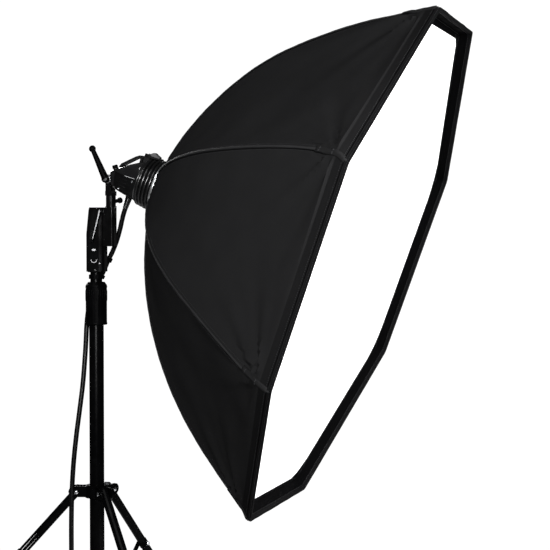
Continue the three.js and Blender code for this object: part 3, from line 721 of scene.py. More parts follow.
def make_cables():
    whole = along_route(0, len(ROUTE) - 1, 6)
    cut = [6 * ADAPTER_CLIP_AT, 6 * RISER_CLIP_AT]
    coil = coil_path()
    straight = [whole[-1].lerp(coil[0], i / 4) for i in range(1, 4)]
    tail = [coil[-1].lerp(CONNECTOR_AT, i / 4) for i in range(1, 5)]
    upper, middle, lower = whole[:cut[0] + 1], whole[cut[0]:cut[1] + 1], whole[cut[1]:]
    lower = lower + straight + coil + tail
    on_end = [*make_connector(), make_tie()]
    between = cable_mesh("cable_past_adapter", middle, ["cable_middle"])
    cable_mesh("cable_to_head", upper, ["cable_upper"])
    cable_mesh("cable_to_floor", lower, ["cable_lower", "cable_coil"])


make_cables()


# ------------------------------------------------------------------ canopy
ROD_CURVE = [Vector(p) for p in ((DEPTH, REAR_R), (434, 310), (244, 482), (LIP_DEPTH + 1.5, CORNER_R - 4))]


def ease(x):
    x = max(0.0, min(1.0, x))
    return x * x * (3 - 2 * x)


def corner_angle(k):
    return (k + 0.5) * TURN / SIDES


def on_rod(t, inset=0.0):
    """(depth, radius) on the bent rod's curve, moved inwards by an inset."""
    a, b, c, d = ROD_CURVE
    s = 1 - t
    p = s**3 * a + 3 * s * s * t * b + 3 * s * t * t * c + t**3 * d
    along = (3 * s * s * (b - a) + 6 * s * t * (c - b) + 3 * t * t * (d - c)).normalized()
    return p.x - inset * along.y, p.y + inset * along.x


# At its front corners the cloth pulls each rod's tip (up, forward), in millimetres.
PULL = [(-17, 8), (5, -4), (10, -2), (-2, -1), (-1, 10), (-6, -7), (-6, -3), (-7, 12)]
# Behind the hem each rod is drawn in by (distance, reach), and one bows out further back.
DRAWN_IN = [(2, 100), (10, 120), (10, 90), (0, 100), (0, 100), (17, 190), (17, 190), (3, 100)]
BOWED_OUT = [0, 0, 9, 0, 0, 0, 0, 0]
# Two rods arch upwards by (height, depth of the crown).
ARCHED = {3: (11, 90), 4: (14, 220)}


def on_ring(k, depth, radius):
    a = corner_angle(k)
    return Vector((radius * math.cos(a), depth, radius * math.sin(a)))


def at_corner(k, depth, radius):
    up, ahead = PULL[k % SIDES]
    inward, reach = DRAWN_IN[k % SIDES]
    share = (radius / CORNER_R) ** 2
    drawn = ease(depth / 31) * math.exp(-((depth - 55) / reach) ** 2)
    radius -= inward * drawn * radius / CORNER_R
    radius += BOWED_OUT[k % SIDES] * math.exp(-((depth - 345) / 95) ** 2)
    height, crown = ARCHED.get(k % SIDES, (0, 90))
    up += height * ease(depth / 31) * math.exp(-((depth - crown) / 170) ** 2) / max(share, 0.3)
    return on_ring(k, depth, radius) + Vector((0, -ahead * share, up * share))


def rod_lengths(steps):
    """Length along the rod's curve from its front end, for steps + 1 equal steps of t."""
    points = [Vector(on_rod(i / steps)) for i in range(steps + 1)]
    found = [0.0]
    for a, b in zip(points[::-1], points[::-1][1:]):
        found.append(found[-1] + (b - a).length)
    return found[::-1]


def cloth_relief(k, s, chord, front):
    """How far the cloth stands in from the straight chord between two rods, in millimetres."""
    seam = min(s, chord - s)
    share = s / chord
    whole = front / CLOTH_LENGTH
    sag = 7.0 * 4 * share * (1 - share) * math.sin(math.pi * min(1, max(0, whole))) ** 0.8
    spot = Vector((s / 95 + 7.3 * k, front / 140, 0.4 * k))
    soft = 4.5 * noise.noise(spot) * ease(seam / 60) * ease(front / 40) * ease((720 - front) / 120)
    pucker = 0.75 * math.sin(front / 5.2 + 2.1 * math.sin(front / 41 + k)) * math.exp(-seam / 13)
    pucker *= 0.4 + 0.6 * noise.noise(Vector((front / 60, 3.1 * k, share * 2)))
    gather = 1.2 * math.sin(s / 2.1 + k) * ease((front - 690) / 60)
    crease = 0.0
    for side, near in ((0, s), (1, chord - s)):
        reach = math.hypot(near, front)
        turn = math.atan2(near, front + 1e-6)
        fold = math.sin(8.5 * turn + 1.3 * k + 2.2 * side) + 0.5 * math.sin(17 * turn + k)
        crease += 5.5 * fold * math.exp(-reach / 120) * ease(reach / 40) * ease(near / 8)
    slack = 1.3 * math.exp(-((front - 26) / 16) ** 2) * math.sin(s / 38 + 1.7 * k) * ease(seam / 50)
    return sag + soft + pucker + gather + crease + slack


def over_lip(share):
    """(depth, radius) of the cloth where it goes on over the lip to the hem, for a share of 0 to 1."""
    depth, radius = ROD_CURVE[3]
    return depth + (0.8 - depth) * share, radius + 5.0 * math.sin(share * TURN / 4) ** 0.8


def canopy_point(k, t, s_share, lift, front):
    """A point of the cloth between rods k and k + 1; t above 1 lies over the lip."""
    if t > 1:
        depth, radius = over_lip(t - 1)
        slack = 1.0 * math.sin(s_share * 14 + 2.3 * k) * math.sin(math.pi * s_share) * (2 - t)
        radius += lift - slack * noise.noise(Vector((s_share * 9, k, 1.3)))
        a, b = at_corner(k, depth, radius), at_corner((k + 1) % SIDES, depth, radius)
        return a.lerp(b, s_share)
    radius = on_rod(t)[1]
    chord = 2 * radius * math.sin(math.pi / SIDES)
    inset = cloth_relief(k, s_share * chord, chord, front) * ease(min(s_share, 1 - s_share) * chord / 6)
    depth, radius = on_rod(t, inset - lift)
    flat = at_corner(k, depth, radius).lerp(at_corner((k + 1) % SIDES, depth, radius), s_share)
    out = Vector((flat.x, 0, flat.z)).normalized() * radius
    return flat.lerp(Vector((out.x, flat.y, out.z)), ease(1 - t / 0.16))


def make_canopy():
    rows, columns, over = 96, 40, 8
    front = rod_lengths(rows) + [-4.0 * (i + 1) for i in range(over)]
    points, places = [], []
    for i in range(rows + 1 + over):
        t = i / rows if i <= rows else 1 + (i - rows) / over
        chord = 2 * on_rod(min(t, 1))[1] * math.sin(math.pi / SIDES)
        for k in range(SIDES):
            for j in range(columns):
                share = j / columns
                points.append(canopy_point(k, t, share, 0.0, front[i]))
                places.append((front[i] * MM, (k * GORE_WIDTH + (share - 0.5) * chord) * MM))
    faces = grid_faces(rows + 1 + over, SIDES * columns, False, True)
    obj = new_piece("canopy", Shape().add(points, faces, places), CANOPY, None, OPTIC, angle=22,
                    extra=[LINING, SHADED_EDGE_CLOTH],
                    replaces=[f"canopy_panel_{k + 1}" for k in range(SIDES)])
    front = front[:rows + 1]
    gore = over * 4.0 * 2 * CORNER_R * math.sin(math.pi / SIDES)
    for a, b, i in zip(front, front[1:], range(rows)):
        mid = on_rod((i + 0.5) / rows)[1]
        gore += (a - b) * 2 * mid * math.sin(math.pi / SIDES)
    # The cloth over the lip takes the darker copy of the weave: painted shade.
    for face in obj.data.polygons[SIDES * columns * (rows + 1):]:
        face.material_index = 2
    thicken(obj, 1.0, -1).material_offset = 1
    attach(obj, "softbox")
    return obj, front, gore


def stitches(line, normals, radius=0.42):
    """Short threads along a line of points."""
    length, gap = 3.4, 1.4
    shape = Shape()
    left = 0.0
    for (a, b), n in zip(zip(line, line[1:]), normals):
        span = (b - a).length
        along = (b - a) / max(span, 1e-6)
        at = left
        while at < span:
            start = a + along * at
            end = a + along * min(at + length, span + length)
            mid = start.lerp(end, 0.5) + n * radius * 1.1
            side = along.cross(n).normalized() * radius
            up = n * radius * 0.8
            shape.add(
                [start, mid + side, mid + up, mid - side, mid - up, end],
                [[0, 1, 2], [0, 2, 3], [0, 3, 4], [0, 4, 1], [5, 2, 1], [5, 3, 2], [5, 4, 3], [5, 1, 4]],
            )
            at += length + gap
        left = at - span
    return shape


def make_seams(front):
    """A felled seam over each rod, sewn down on both sides."""
    welts, threads, shade_cords = Shape(), Shape(), Shape()
    steps = 72
    for k in range(SIDES):
        path, ups, radii = [], [], []
        for i in range(steps + 1):
            t = 0.004 + 0.996 * i / (steps - 6)
            depth, radius = on_rod(t, -0.9) if t <= 1 else over_lip(min(0.9, (i - steps + 6) / 6.5))
            path.append(at_corner(k, depth, radius))
            inner = on_rod(min(t, 1), 3)
            ups.append((at_corner(k, depth, radius) - at_corner(k, *inner)).normalized())
            radii.append(2.5 + 0.3 * math.sin(i * 0.9 + k) + 0.25 * math.sin(i * 2.3))
        welts.join(tube(path, radii, 10, 0.62, ups))
        for side in (0, 1):
            line, normals = [], []
            for i in range(steps + 1):
                t = 0.05 + 0.93 * i / steps
                chord = 2 * on_rod(t)[1] * math.sin(math.pi / SIDES)
                share = 7.5 / chord if side else 1 - 7.5 / chord
                panel = k if side else (k - 1) % SIDES
                line.append(canopy_point(panel, t, share, 0.25, front[int(t * (len(front) - 1))]))
                normals.append(ups[min(i, steps)])
            threads.join(stitches(line, normals))
        # A thin near-black cord beside each welt: a painted shadow that the welt casts.
        shade_line = []
        for i in range(steps + 1):
            t = 0.03 + 0.96 * i / steps
            share = 4.4 / (2 * on_rod(t)[1] * math.sin(math.pi / SIDES))
            shade_line.append(canopy_point(k, t, share, 0.2, front[int(t * (len(front) - 1))]))
        shade_cords.join(tube(shade_line, 0.85, 8))
    new_piece("canopy_seams", welts, WELT, "softbox")
    new_piece("seam_shadow_cords", shade_cords, LIP, "softbox")
    new_piece("seam_stitching", threads, THREAD, "softbox", angle=60)


# How far the black border reaches in over the diffuser at each corner.
BORDER = [4, 14, 19, 3, 3, 5, 5, 4]


def make_rod_pockets():
    """Where each seam ends, a doubled patch with a bar tack holds the rod's tip."""
    patches, tacks = Shape(), Shape()
    for k in range(SIDES):
        rows = []
        steps = 16
        for i in range(steps + 1):
            t = 0.935 + 0.065 * i / 10 if i <= 10 else 1 + 0.75 * (i - 10) / 6
            radius = on_rod(t)[1] if t <= 1 else over_lip(t - 1)[1]
            half = 7.5 / (2 * radius * math.sin(math.pi / SIDES))
            front = (1 - min(t, 1)) * CLOTH_LENGTH
            row = []
            for j in range(9):
                side = (j - 4) / 4
                share = half * abs(side) if side >= 0 else 1 - half * abs(side)
                panel = k if side >= 0 else (k - 1) % SIDES
                crown = 2.4 * math.cos(side * TURN / 4) ** 0.5 + 0.6
                row.append(canopy_point(panel, t, share, crown, front))
            rows.append(row)
        for i in (2, 9):
            span = [rows[i][j] + (rows[i][4] - rows[i + 3][4]).normalized() * 0.2 for j in (1, 3, 5, 7)]
            tacks.join(tube(span, 1.0, 8))
        points = [p for row in rows for p in row]
        places = [(4 * i * MM, 2 * j * MM) for i in range(steps + 1) for j in range(9)]
        patches.add(points, grid_faces(steps + 1, 9), places)
    obj = new_piece("rod_pocket_patches", patches, CANOPY, None, OPTIC, angle=60)
    thicken(obj, 0.9)
    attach(obj, "softbox")
    new_piece("rod_pocket_tacks", tacks, THREAD, "softbox", angle=60)


def octagon_path(radius, depth, corner=8.0, wave=0.0, seed=0.0, border=0.0):
    """Points round an octagon with rounded corners, in the plane of one depth."""
    per_side = 40
    corners = [at_corner(k, depth, radius - border * BORDER[k]) for k in range(SIDES)]
    found = []
    for k, c in enumerate(corners):
        before, after = corners[k - 1], corners[(k + 1) % SIDES]
        a = c + (before - c).normalized() * corner
        b = c + (after - c).normalized() * corner
        for i in range(5):
            t = i / 4
            found.append((1 - t) ** 2 * a + 2 * t * (1 - t) * c + t * t * b)
        end = after + (c - after).normalized() * corner
        for i in range(1, per_side):
            p = b.lerp(end, i / per_side)
            if wave:
                x = i / per_side * 9 + 13 * k + seed
                out = Vector((p.x, 0, p.z)).normalized()
                swell = wave * noise.noise(Vector((x, seed, 0.5)))
                p += out * swell * ease(i / 4) * ease((per_side - i) / 4)
            found.append(p)
    return found


def band(outline, wave, seed, corner=8.0):
    """A ring of an octagon whose section is an outline of (radius, depth)."""
    lines = [octagon_path(r, d, corner, wave, seed) for r, d in outline]
    rings = [list(points) for points in zip(*lines)]
    return loft(rings, loop=True)


def make_border():
    """The black tape round the diffuser, inside the lip."""
    lines = [
        octagon_path(604.5, 26.2), octagon_path(604.5, 27.0),
        octagon_path(604.5, 27.0, corner=14, border=1), octagon_path(604.5, 26.2, corner=14, border=1),
    ]
    shape = loft([list(points) for points in zip(*lines)], loop=True)
    return new_piece("diffuser_tape", shape, LIP, "softbox", angle=50)


def make_lip():
    lip = band([(605.4, 1.5), (608.2, 1.5), (608, 15), (604.6, 29.5), (602.4, 29.5), (605.0, 15)], 0.9, 2.0)
    obj = new_piece("lip_band", lip, LIP, "softbox", replaces=["front_lip"], angle=50)
    binding = band(rounded([(604, -1.6), (612.2, -1.6), (612.4, 3.2), (609.5, 3.2), (605.4, 7.5),
                            (604, 7.5)], 1.2, 3), 0.9, 2.0)
    hem = new_piece("lip_hem", binding, HEM, "softbox", angle=50)
    tuck = tube(octagon_path(611.2, 8.6, 8, 0.5, 5.0), 0.9, 8, loop=True)
    piping = new_piece("hem_tuck", tuck, LIP, "softbox")
    threads = Shape()
    for depth, radius, out in ((1.9, 612.4, 1), (12.2, 611.0, 1), (6.6, 603.9, -1), (25.5, 603.2, -1)):
        line = octagon_path(radius, depth, 8, 0.9, 2.0)
        line.append(line[0])
        normals = [Vector((p.x, 0, p.z)).normalized() * out for p in line]
        threads.join(stitches(line, normals))
    sewn = new_piece("lip_stitching", threads, THREAD, "softbox", angle=60)
    make_border()


def make_gussets():
    """A pocket over each rod's tip closes the lip's corner, with a small pull tab on it."""
    pockets, tabs, threads = Shape(), Shape(), Shape()
    for k in range(SIDES):
        a = corner_angle(k)
        out = Vector((math.cos(a), 0, math.sin(a)))
        across = Vector((-math.sin(a), 0, math.cos(a)))
        corner = at_corner(k, 27, CORNER_R - 7) - Vector((0, 27, 0))
        leg = 54
        n = 14
        rows = []
        for i in range(n + 1):
            f = i / n
            row = []
            for j in range(n + 1):
                g = 2 * j / n - 1
                half = leg * f * math.cos(math.pi / SIDES)
                inward = leg * f * math.sin(math.pi / SIDES)
                curve = 7.5 * f * (1 - g * g)
                rise = 2.6 * math.exp(-((f - 0.45) / 0.3) ** 2 - (g / 0.35) ** 2)
                p = corner - out * (inward - curve * 0.4 + 3.5 * f * abs(g)) + across * half * g
                row.append(p + Vector((0, 25.6 - rise + 1.2 * f * (1 - f) * g, 0)))
            rows.append(row)
        pockets.add([p for row in rows for p in row], grid_faces(n + 1, n + 1),
                    [((i * 4) * MM, (j * 7) * MM) for i in range(n + 1) for j in range(n + 1)])
        mouth = corner - out * (leg * math.sin(math.pi / SIDES) - 2)
        tab = prism([(-6, -12), (6, -12), (6, 3), (-6, 3)], -0.7, 0.7, 2.5)
        spot = Matrix((across, -out, Vector((0, 1, 0)))).transposed().to_4x4()
        tabs.join(tab, Matrix.Translation(mouth + Vector((0, 23.6, 0)) + out * 2) @ spot)
        edge = [rows[-2][j] - Vector((0, 0.5, 0)) for j in range(n + 1)]
        threads.join(stitches(edge, [Vector((0, -1, 0))] * len(edge)))
    obj = new_piece("corner_pockets", pockets, LIP, None, OPTIC, angle=60)
    thicken(obj, 1.0)
    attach(obj, "softbox")
    new_piece("pocket_tabs", tabs, HEM, "softbox", bevel=0.4)
    new_piece("pocket_stitching", threads, THREAD, "softbox", angle=60)
    return obj


def diffuser_sheet(radius, depth, seed, relief):
    """An octagon of cloth as rings of points, with a little slack between its corners."""
    rings, per_side = 26, 22
    points, places = [], []
    for i in range(1, rings + 1):
        r = radius * (i / rings) ** 0.85
        for k in range(SIDES):
            a, b = at_corner(k, depth, r), at_corner((k + 1) % SIDES, depth, r)
            for j in range(per_side):
                p = a.lerp(b, j / per_side)
                share = i / rings
                corner = math.exp(-min(j, per_side - j) / 2.2) * share**4
                spot = Vector((p.x / 190 + seed, p.z / 190, seed))
                fold = relief * noise.noise(spot) * (1 - share**6)
                pull = 0.5 * relief * corner * math.sin(j * 1.4 + k)
                points.append(p + Vector((0, fold + pull, 0)))
                places.append((p.x * MM, p.z * MM))
    around = SIDES * per_side
    faces = grid_faces(rings, around, False, True)
    faces.append(list(range(around)))
    return Shape().add(points, faces, places)


def make_diffusers():
    front = new_piece("front_diffuser_cloth", diffuser_sheet(DIFFUSER_R, DIFFUSER_AT, 1.7, 1.1), WHITE,
                      None, OPTIC, replaces=["front_diffuser"], angle=60)
    inner = new_piece("inner_diffuser_cloth",
                      diffuser_sheet(INNER_DIFFUSER_R - 2, INNER_DIFFUSER_AT + 0.7, 8.2, 3.0), WHITE,
                      None, OPTIC, replaces=["inner_diffuser"], angle=60)
    for cloth in (front, inner):
        thicken(cloth, 0.6)
        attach(cloth, "softbox")
    border = band(rounded([(575, 27.1), (604.5, 27.1), (604.5, 27.8), (575, 27.8)], 0.3, 1), 0.0, 0.0, 4)
    tape = new_piece("diffuser_border", border, WHITE, "softbox", angle=60)
    threads = Shape()
    for radius in (577.5, 582.5):
        line = octagon_path(radius, 27.0, 4)
        line.append(line[0])
        threads.join(stitches(line, [Vector((0, -1, 0))] * len(line), radius=0.35))
    sewn = new_piece("diffuser_stitching", threads, WHITE_THREAD, "softbox", angle=60)
    edge = band(rounded([(405, 260.6), (412.5, 260.6), (412.5, 264.4), (405, 264.4)], 1.2, 2), 0, 0, 5)
    bound = new_piece("inner_diffuser_binding", edge, HEM, "softbox", angle=50)
    straps = Shape()
    for k in range(SIDES):
        rod = next(i / 200 for i in range(200) if on_rod(i / 200, ROD_INSET)[0] < INNER_DIFFUSER_AT)
        far = at_corner(k, *on_rod(rod, ROD_INSET))
        near = at_corner(k, INNER_DIFFUSER_AT, 408)
        path = [near.lerp(far, i / 6) for i in range(7)]
        straps.join(tube(path, 4.5, 8, 0.2, [Vector((0, 1, 0))] * 7))
    strap = new_piece("inner_diffuser_straps", straps, ELASTIC, "softbox")


def make_rods():
    """Sprung rods, the turning speedring with its sockets, and the insert it turns on."""
    for k in range(SIDES):
        path = []
        for i in range(49):
            depth, radius = on_rod(0.02 + 0.94 * i / 48, ROD_INSET)
            path.append(at_corner(k, depth, radius))
        new_piece(f"sprung_rod_{k + 1}", tube(path, 2.6, 12), STEEL, "softbox",
                  replaces=[f"rod_{k + 1}"])
    ring = Shape()
    back = DEPTH - 24
    ring.join(hoop(51.2, 64, back, DEPTH, 96, 1.0), LENGTHWAYS)
    for k in range(SIDES):
        ends = []
        for t, push in ((0, -8), (0.03, -4), (0.06, 0)):
            depth, radius = on_rod(t, ROD_INSET)
            ends.append(on_ring(k, depth, radius + push))
        ring.join(tube(ends, 5.5, 20))
        ring.join(socket_screw(2.6, 1.8), frame_on(on_ring(k + 0.5, DEPTH - 0.2, 58), (0, 1, 0)))
    new_piece("speedring_body", ring, ALLOY, "softbox", replaces=["speedring"])
    elastic = tube(
        [Vector((69.4 * math.cos(TURN * i / 96), DEPTH - 2.4, 69.4 * math.sin(TURN * i / 96)))
         for i in range(96)], 2.2, 10, loop=True)
    new_piece("canopy_rear_elastic", elastic, ELASTIC, "softbox")
    insert = lathe([
        (46, 488), (58, 488), (58, 494.5), (50, 494.5), (50, 520.6), (60, 520.6), (60, 527.4), (50, 527.4),
        (50, 557), (46, 557),
    ], 96, 0.7)
    new_piece("insert_ring", Shape().join(insert, LENGTHWAYS), ALLOY, "head",
              replaces=["speedring_insert"])


canopy, front_lengths, gore_area = make_canopy()
make_seams(front_lengths)
make_rod_pockets()
make_lip()
pockets = make_gussets()
make_diffusers()
make_rods()


# ------------------------------------------------------------------ flash head
# depth, half width, bottom, top, squareness and lean of the housing at its stations
STATIONS = [
    (566.3, 50.4, -50.4, 50.4, 2, 0), (570, 49, -46, 46, 3, 1.5), (602, 40, -41.5, 23, 3.6, 7),
    (628, 27, -37, -1, 3.6, 14),
]


SLOPE = Vector((0, 0.588, 0.809))


def station(depth):
    for a, b in zip(STATIONS, STATIONS[1:]):
        if depth <= b[0]:
            t = (depth - a[0]) / (b[0] - a[0])
            return [x + (y - x) * t for x, y in zip(a, b)]
    return list(STATIONS[-1])


def soft_station(depth):
    """The housing's section, with the kinks between stations rounded off."""
    reach = max(0.0, min(8.0, depth - STATIONS[0][0], STATIONS[-1][0] - depth))
    sums = [station(depth + reach * (i - 3) / 3) for i in range(7)]
    return [depth, *[sum(column) / 7 for column in list(zip(*sums))[1:]]]


def section_point(section, a, grow):
    depth, half_width, low, high, power, lean = section
    middle, half = (low + high) / 2, (high - low) / 2
    x, z = (math.copysign(abs(c) ** (2 / power), c) for c in (math.cos(a), math.sin(a)))
    return (half_width + grow) * x, depth + lean * (z + 1) / 2, middle + (half + grow) * z


def housing_upper():
    rings = []
    for depth in [558.5, *[566.4 + 2.05 * i for i in range(31)]]:
        section = soft_station(max(depth, STATIONS[0][0]))
        section[0] = depth
        rings.append([section_point(section, TURN * i / 96, 0) for i in range(96)])
    for shrink, back in ((0.6, 0.5), (1.8, 0.9)):
        section = list(STATIONS[-1])
        section[0] += back
        rings.append([section_point(section, TURN * i / 96, -shrink) for i in range(96)])
    return loft(rings).join(block(-12, 12, COLLAR_BACK + 0.6, 580, 30, 57.6))


def housing_lower():
    """The lower shell stands a little proud of the upper one, which leaves a ledge at half height."""
    first, last, grow = 568.0, 619.0, 1.3
    rings = []
    for i in range(27):
        section = soft_station(first + (last - first) * i / 26)
        low, high, power = section[2:5]
        edge = max(-0.95, min(0.95, (low + high) / (low - high)))
        start = math.asin(math.copysign(abs(edge) ** (power / 2), edge))
        rings.append([
            section_point(section, math.pi - start + (math.pi + 2 * start) * k / 48, grow)
            for k in range(49)
        ])
    return loft(rings)


def ridge_profile():
    outline = [(51.2, COLLAR_FRONT), (55, COLLAR_FRONT)]
    for i, r in enumerate((59.5, 58.3, 57.1, 56)):
        at = COLLAR_FRONT + 1.6 + 9 * i
        outline += [(r - 3.2, at)]
        for k in range(7):
            a = math.pi * (k + 0.5) / 7
            outline.append((r - 3 + 3 * math.sin(a) ** 0.7, at + 4.1 - 3.4 * math.cos(a)))
        outline += [(r - 3.4, at + 8.2)]
    return outline + [(52.8, COLLAR_BACK), (51.2, COLLAR_BACK)]


def on_slope(x, rise):
    """A frame that stands on the head's rear slope."""
    return HEAD @ frame_on(Vector((x, 635.6, 3.7)) + SLOPE * rise, SLOPE, (1, 0, 0))


def knurled(r, height, ribs):
    """A short knob with ribs round it, standing on Z 0."""
    shape = hoop(0.3, r, 0, height, 48, 0.7)
    path = [(r - 0.1, 0, 0.12 * height), (r + 0.2, 0, 0.25 * height),
            (r + 0.2, 0, 0.75 * height), (r - 0.1, 0, 0.88 * height)]
    shape.join_round(tube(path, 0.42, 6), ribs)
    return shape


def screws(name, places, r, finish, body, space, height=1.4):
    """Cap screws at several places; each place is (point, direction outwards)."""
    shape = Shape()
    for point, out in places:
        shape.join(socket_screw(r, height), frame_on(point, out))
    return new_piece(name, shape, finish, body, space)


def make_housing():
    new_piece("housing_upper_shell", housing_upper(), UPPER_SHELL, "head", angle=40,
              replaces=["head_housing"])
    new_piece("housing_lower_shell", housing_lower(), HOUSING, "head", bevel=0.45, angle=50)
    new_piece("collar_ridges", Shape().join(lathe(ridge_profile(), 120, 0), LENGTHWAYS), RUBBER, "head",
              replaces=["head_collar"], angle=50)
    vents, places = Shape(), []
    for side in (-1, 1):
        for i in range(3):
            w = -9 - 8 * i
            path = []
            for k in range(7):
                section = soft_station(586 + 4 * k)
                path.append((side * (section[1] + 1.1), 586 + 4 * k + section[5] / 2, w))
            vents.join(tube(path, [0.5, 1.1, 1.2, 1.2, 1.2, 1.1, 0.5], 8))
        places.append(((side * 49.6, 575.5, -5.5), (side, 0.1, 0)))
        places.append(((side * 40.6, 604, -33), (side, 0.2, -0.3)))
    new_piece("housing_vents", vents, HOUSING, "head")
    # A pale strip along the parting ledge on each side: a painted highlight of the ledge catching light.
    ledge_glints = Shape()
    for side in (-1, 1):
        line = []
        for i in range(9):
            section = soft_station(571 + 4.5 * i)
            line.append((side * (section[1] + 0.9), 571 + 4.5 * i + section[5] / 2, 1.5 - 0.35 * i))
        ledge_glints.join(tube(line, [0.3, *[0.55] * 7, 0.3], 8))
    new_piece("parting_ledge_painted_highlights", ledge_glints, PAINTED_HIGHLIGHT, "head")
    screws("housing_screws", places, 2.3, SCREW, "head", HEAD)
    base = loft([
        [(-12.5, 541, 57), (12.5, 541, 57), (12.5, 541, 60.6), (-12.5, 541, 60.6)],
        [(-12.5, 580.5, 54), (12.5, 580.5, 54), (12.5, 580.5, 57.3), (-12.5, 580.5, 57.3)],
    ])
    for side in (-1, 1):
        base.join(block(side * 12.4 - 1, side * 12.4 + 1, 566, 580, 55, 62))
    new_piece("latch_base", base, HOUSING, "head", bevel=0.5)
    latch = loft([
        [(-10.6, 546.5, 60.4), (10.6, 546.5, 60.4), (7.6, 546.5, 63.6), (-7.6, 546.5, 63.6)],
        [(-10.8, 554, 60.1), (10.8, 554, 60.1), (7.4, 554, 66.4), (-7.4, 554, 66.4)],
        [(-11, 560.5, 59.8), (11, 560.5, 59.8), (6.6, 560.5, 69.3), (-6.6, 560.5, 69.3)],
        [(-11, 563.5, 59.6), (11, 563.5, 59.6), (6.8, 563.5, 68.6), (-6.8, 563.5, 68.6)],
        [(-10.8, 570, 59.2), (10.8, 570, 59.2), (8, 570, 63.6), (-8, 570, 63.6)],
        [(-10.6, 577.6, 59.3), (10.6, 577.6, 59.3), (8.6, 577.6, 60.5), (-8.6, 577.6, 60.5)],
    ])
    new_piece("latch_lever", latch, GREY, "collar_latch", bevel=0.9, replaces=["collar_latch"])
    pin = Shape().join(solid_lathe([(1.5, 0), (1.5, 26.6)], 16), frame_on((-13.3, 577, 59.8), (1, 0, 0)))
    new_piece("latch_pin", pin, SCREW, "head")


def make_controls():
    dial = knurled(5.9, 8.2, 22)
    mark = block(-0.45, 0.45, 1.0, 5.4, 8.1, 8.5)
    space = on_slope(-11, 0.7)
    new_piece("dial_knob", dial, NYLON, "power_dial", space,
              replaces=["power_dial"])
    new_piece("dial_mark", mark, PAINTED_MARK, "power_dial", space)
    seat = Shape().join(hoop(6.3, 7.2, 0, 0.9, 48, 0.3))
    new_piece("dial_seat", seat, HOUSING, "head", on_slope(-11, 0.1))
    bezel = Shape().join(hoop(4.1, 5.3, -0.4, 0.8, 40, 0.3))
    new_piece("button_bezel", bezel, HOUSING, "head", on_slope(10, 0.1))
    lamp = Shape().join(solid_lathe([(1.3, -0.5), (1.3, 0.4), (0.9, 0.9), (0.3, 1.1)], 20))
    new_piece("ready_lamp", lamp, FROSTED, "head", on_slope(1, 0))


def make_handle():
    hub, back = -33, HUB_BACK
    axis = HEAD @ frame_on((0, back, -HUB_DROP), (1, 0, 0), (0, 1, 0))
    body = lathe([(0.4, hub), (8.4, hub), (8.6, hub + 2.5), (8.6, -19.4), (0.4, -19.4)], 48, 1.2)
    body.join(solid_lathe([(5, -19.8), (5, 20.2)], 32))
    body.join(prism(hexagon(9), 19.5, 25, 0.8, 2))
    body.join(solid_lathe([(3.9, 24.5), (3.9, 26.6), (3.2, 27.2)], 24))
    arm = Vector((1, 1, 0)).normalized()
    path = [arm * d + Vector((0, 0, -27.6)) for d in (0, 8, 20, 34, 48, 60, 68, 72)]
    body.join(tube(path, [8.2, 8.1, 7.5, 6.9, 6.3, 5.8, 5.5, 5.3], 32))
    ball = []
    for i in range(1, 16):
        a = math.pi * i / 16
        ball.append((7.9 * math.sin(a), -7.9 * math.cos(a)))
    body.join(solid_lathe(ball, 32), frame_on(Vector((0, 0, -27.6)) + arm * 75.7, arm))
    new_piece("handle_lever", body, NYLON, "tilt_handle", axis,
              replaces=["tilt_handle"], angle=45)
    cap = Shape().join(solid_lathe([(4.6, 0), (4.6, 0.8), (3.8, 1.3), (0.4, 1.3)], 32),
                       frame_on((0, 0, hub + 0.3), (0, 0, -1)))
    new_piece("handle_cap", cap, GREY, "tilt_handle", axis)


def make_strain_relief():
    space = HEAD @ frame_on((21, 594, -39.5), (0, 0, -1), (1, 0, 0))
    shape = prism(hexagon(8.6), 0.4, 12.3, 0.9, 2)
    outline = [(CABLE_R + 0.3, 11), (7.9, 11)]
    for i in range(6):
        at, r = 13 + 3.8 * i, 8.1 - 0.28 * i
        outline += [(r - 0.7, at), (r, at + 0.5), (r, at + 2.2), (r - 0.7, at + 2.7)]
    outline += [(6.5, 36.5), (CABLE_R + 0.3, 36.5)]
    shape.join(lathe(outline, 40, 0.25, 1))
    new_piece("strain_relief", shape, RUBBER, "head", space, replaces=["cable_gland"])


def make_bulbs():
    """What the front glass hides: lamp holder, lamp filament support and the flash tube's leads."""
    holder = Shape().join(hoop(9.4, 13, 540, 558.3, 48, 0.6), LENGTHWAYS)
    for x in (-30, 30):
        holder.join(solid_lathe([(4.4, 546), (4.4, 558.3)], 24), Matrix.Translation((x, 0, 0)) @ LENGTHWAYS)
    plate = hoop(14, 41, 556.8, 558.3, 64, 0.4)
    holder.join(plate, LENGTHWAYS)
    new_piece("lamp_holder", holder, PAINTED_MARK, "head")
    coil = []
    for i in range(41):
        a = TURN * 5 * i / 40
        coil.append((30 * math.cos(i / 40 * TURN), 520 + 3.7 * math.cos(a), 30 * math.sin(i / 40 * TURN)))
    new_piece("trigger_wire", tube(coil, 0.35, 6), SCREW, "head")


make_housing()
make_controls()
make_handle()
make_strain_relief()
make_bulbs()


# ------------------------------------------------------------------ adapter and stand
PIVOT_Z = HUB.z / MM
FORK_Y = HUB.y / MM - COLUMN_Y / MM
POST_Y = FORK_Y - 2.7


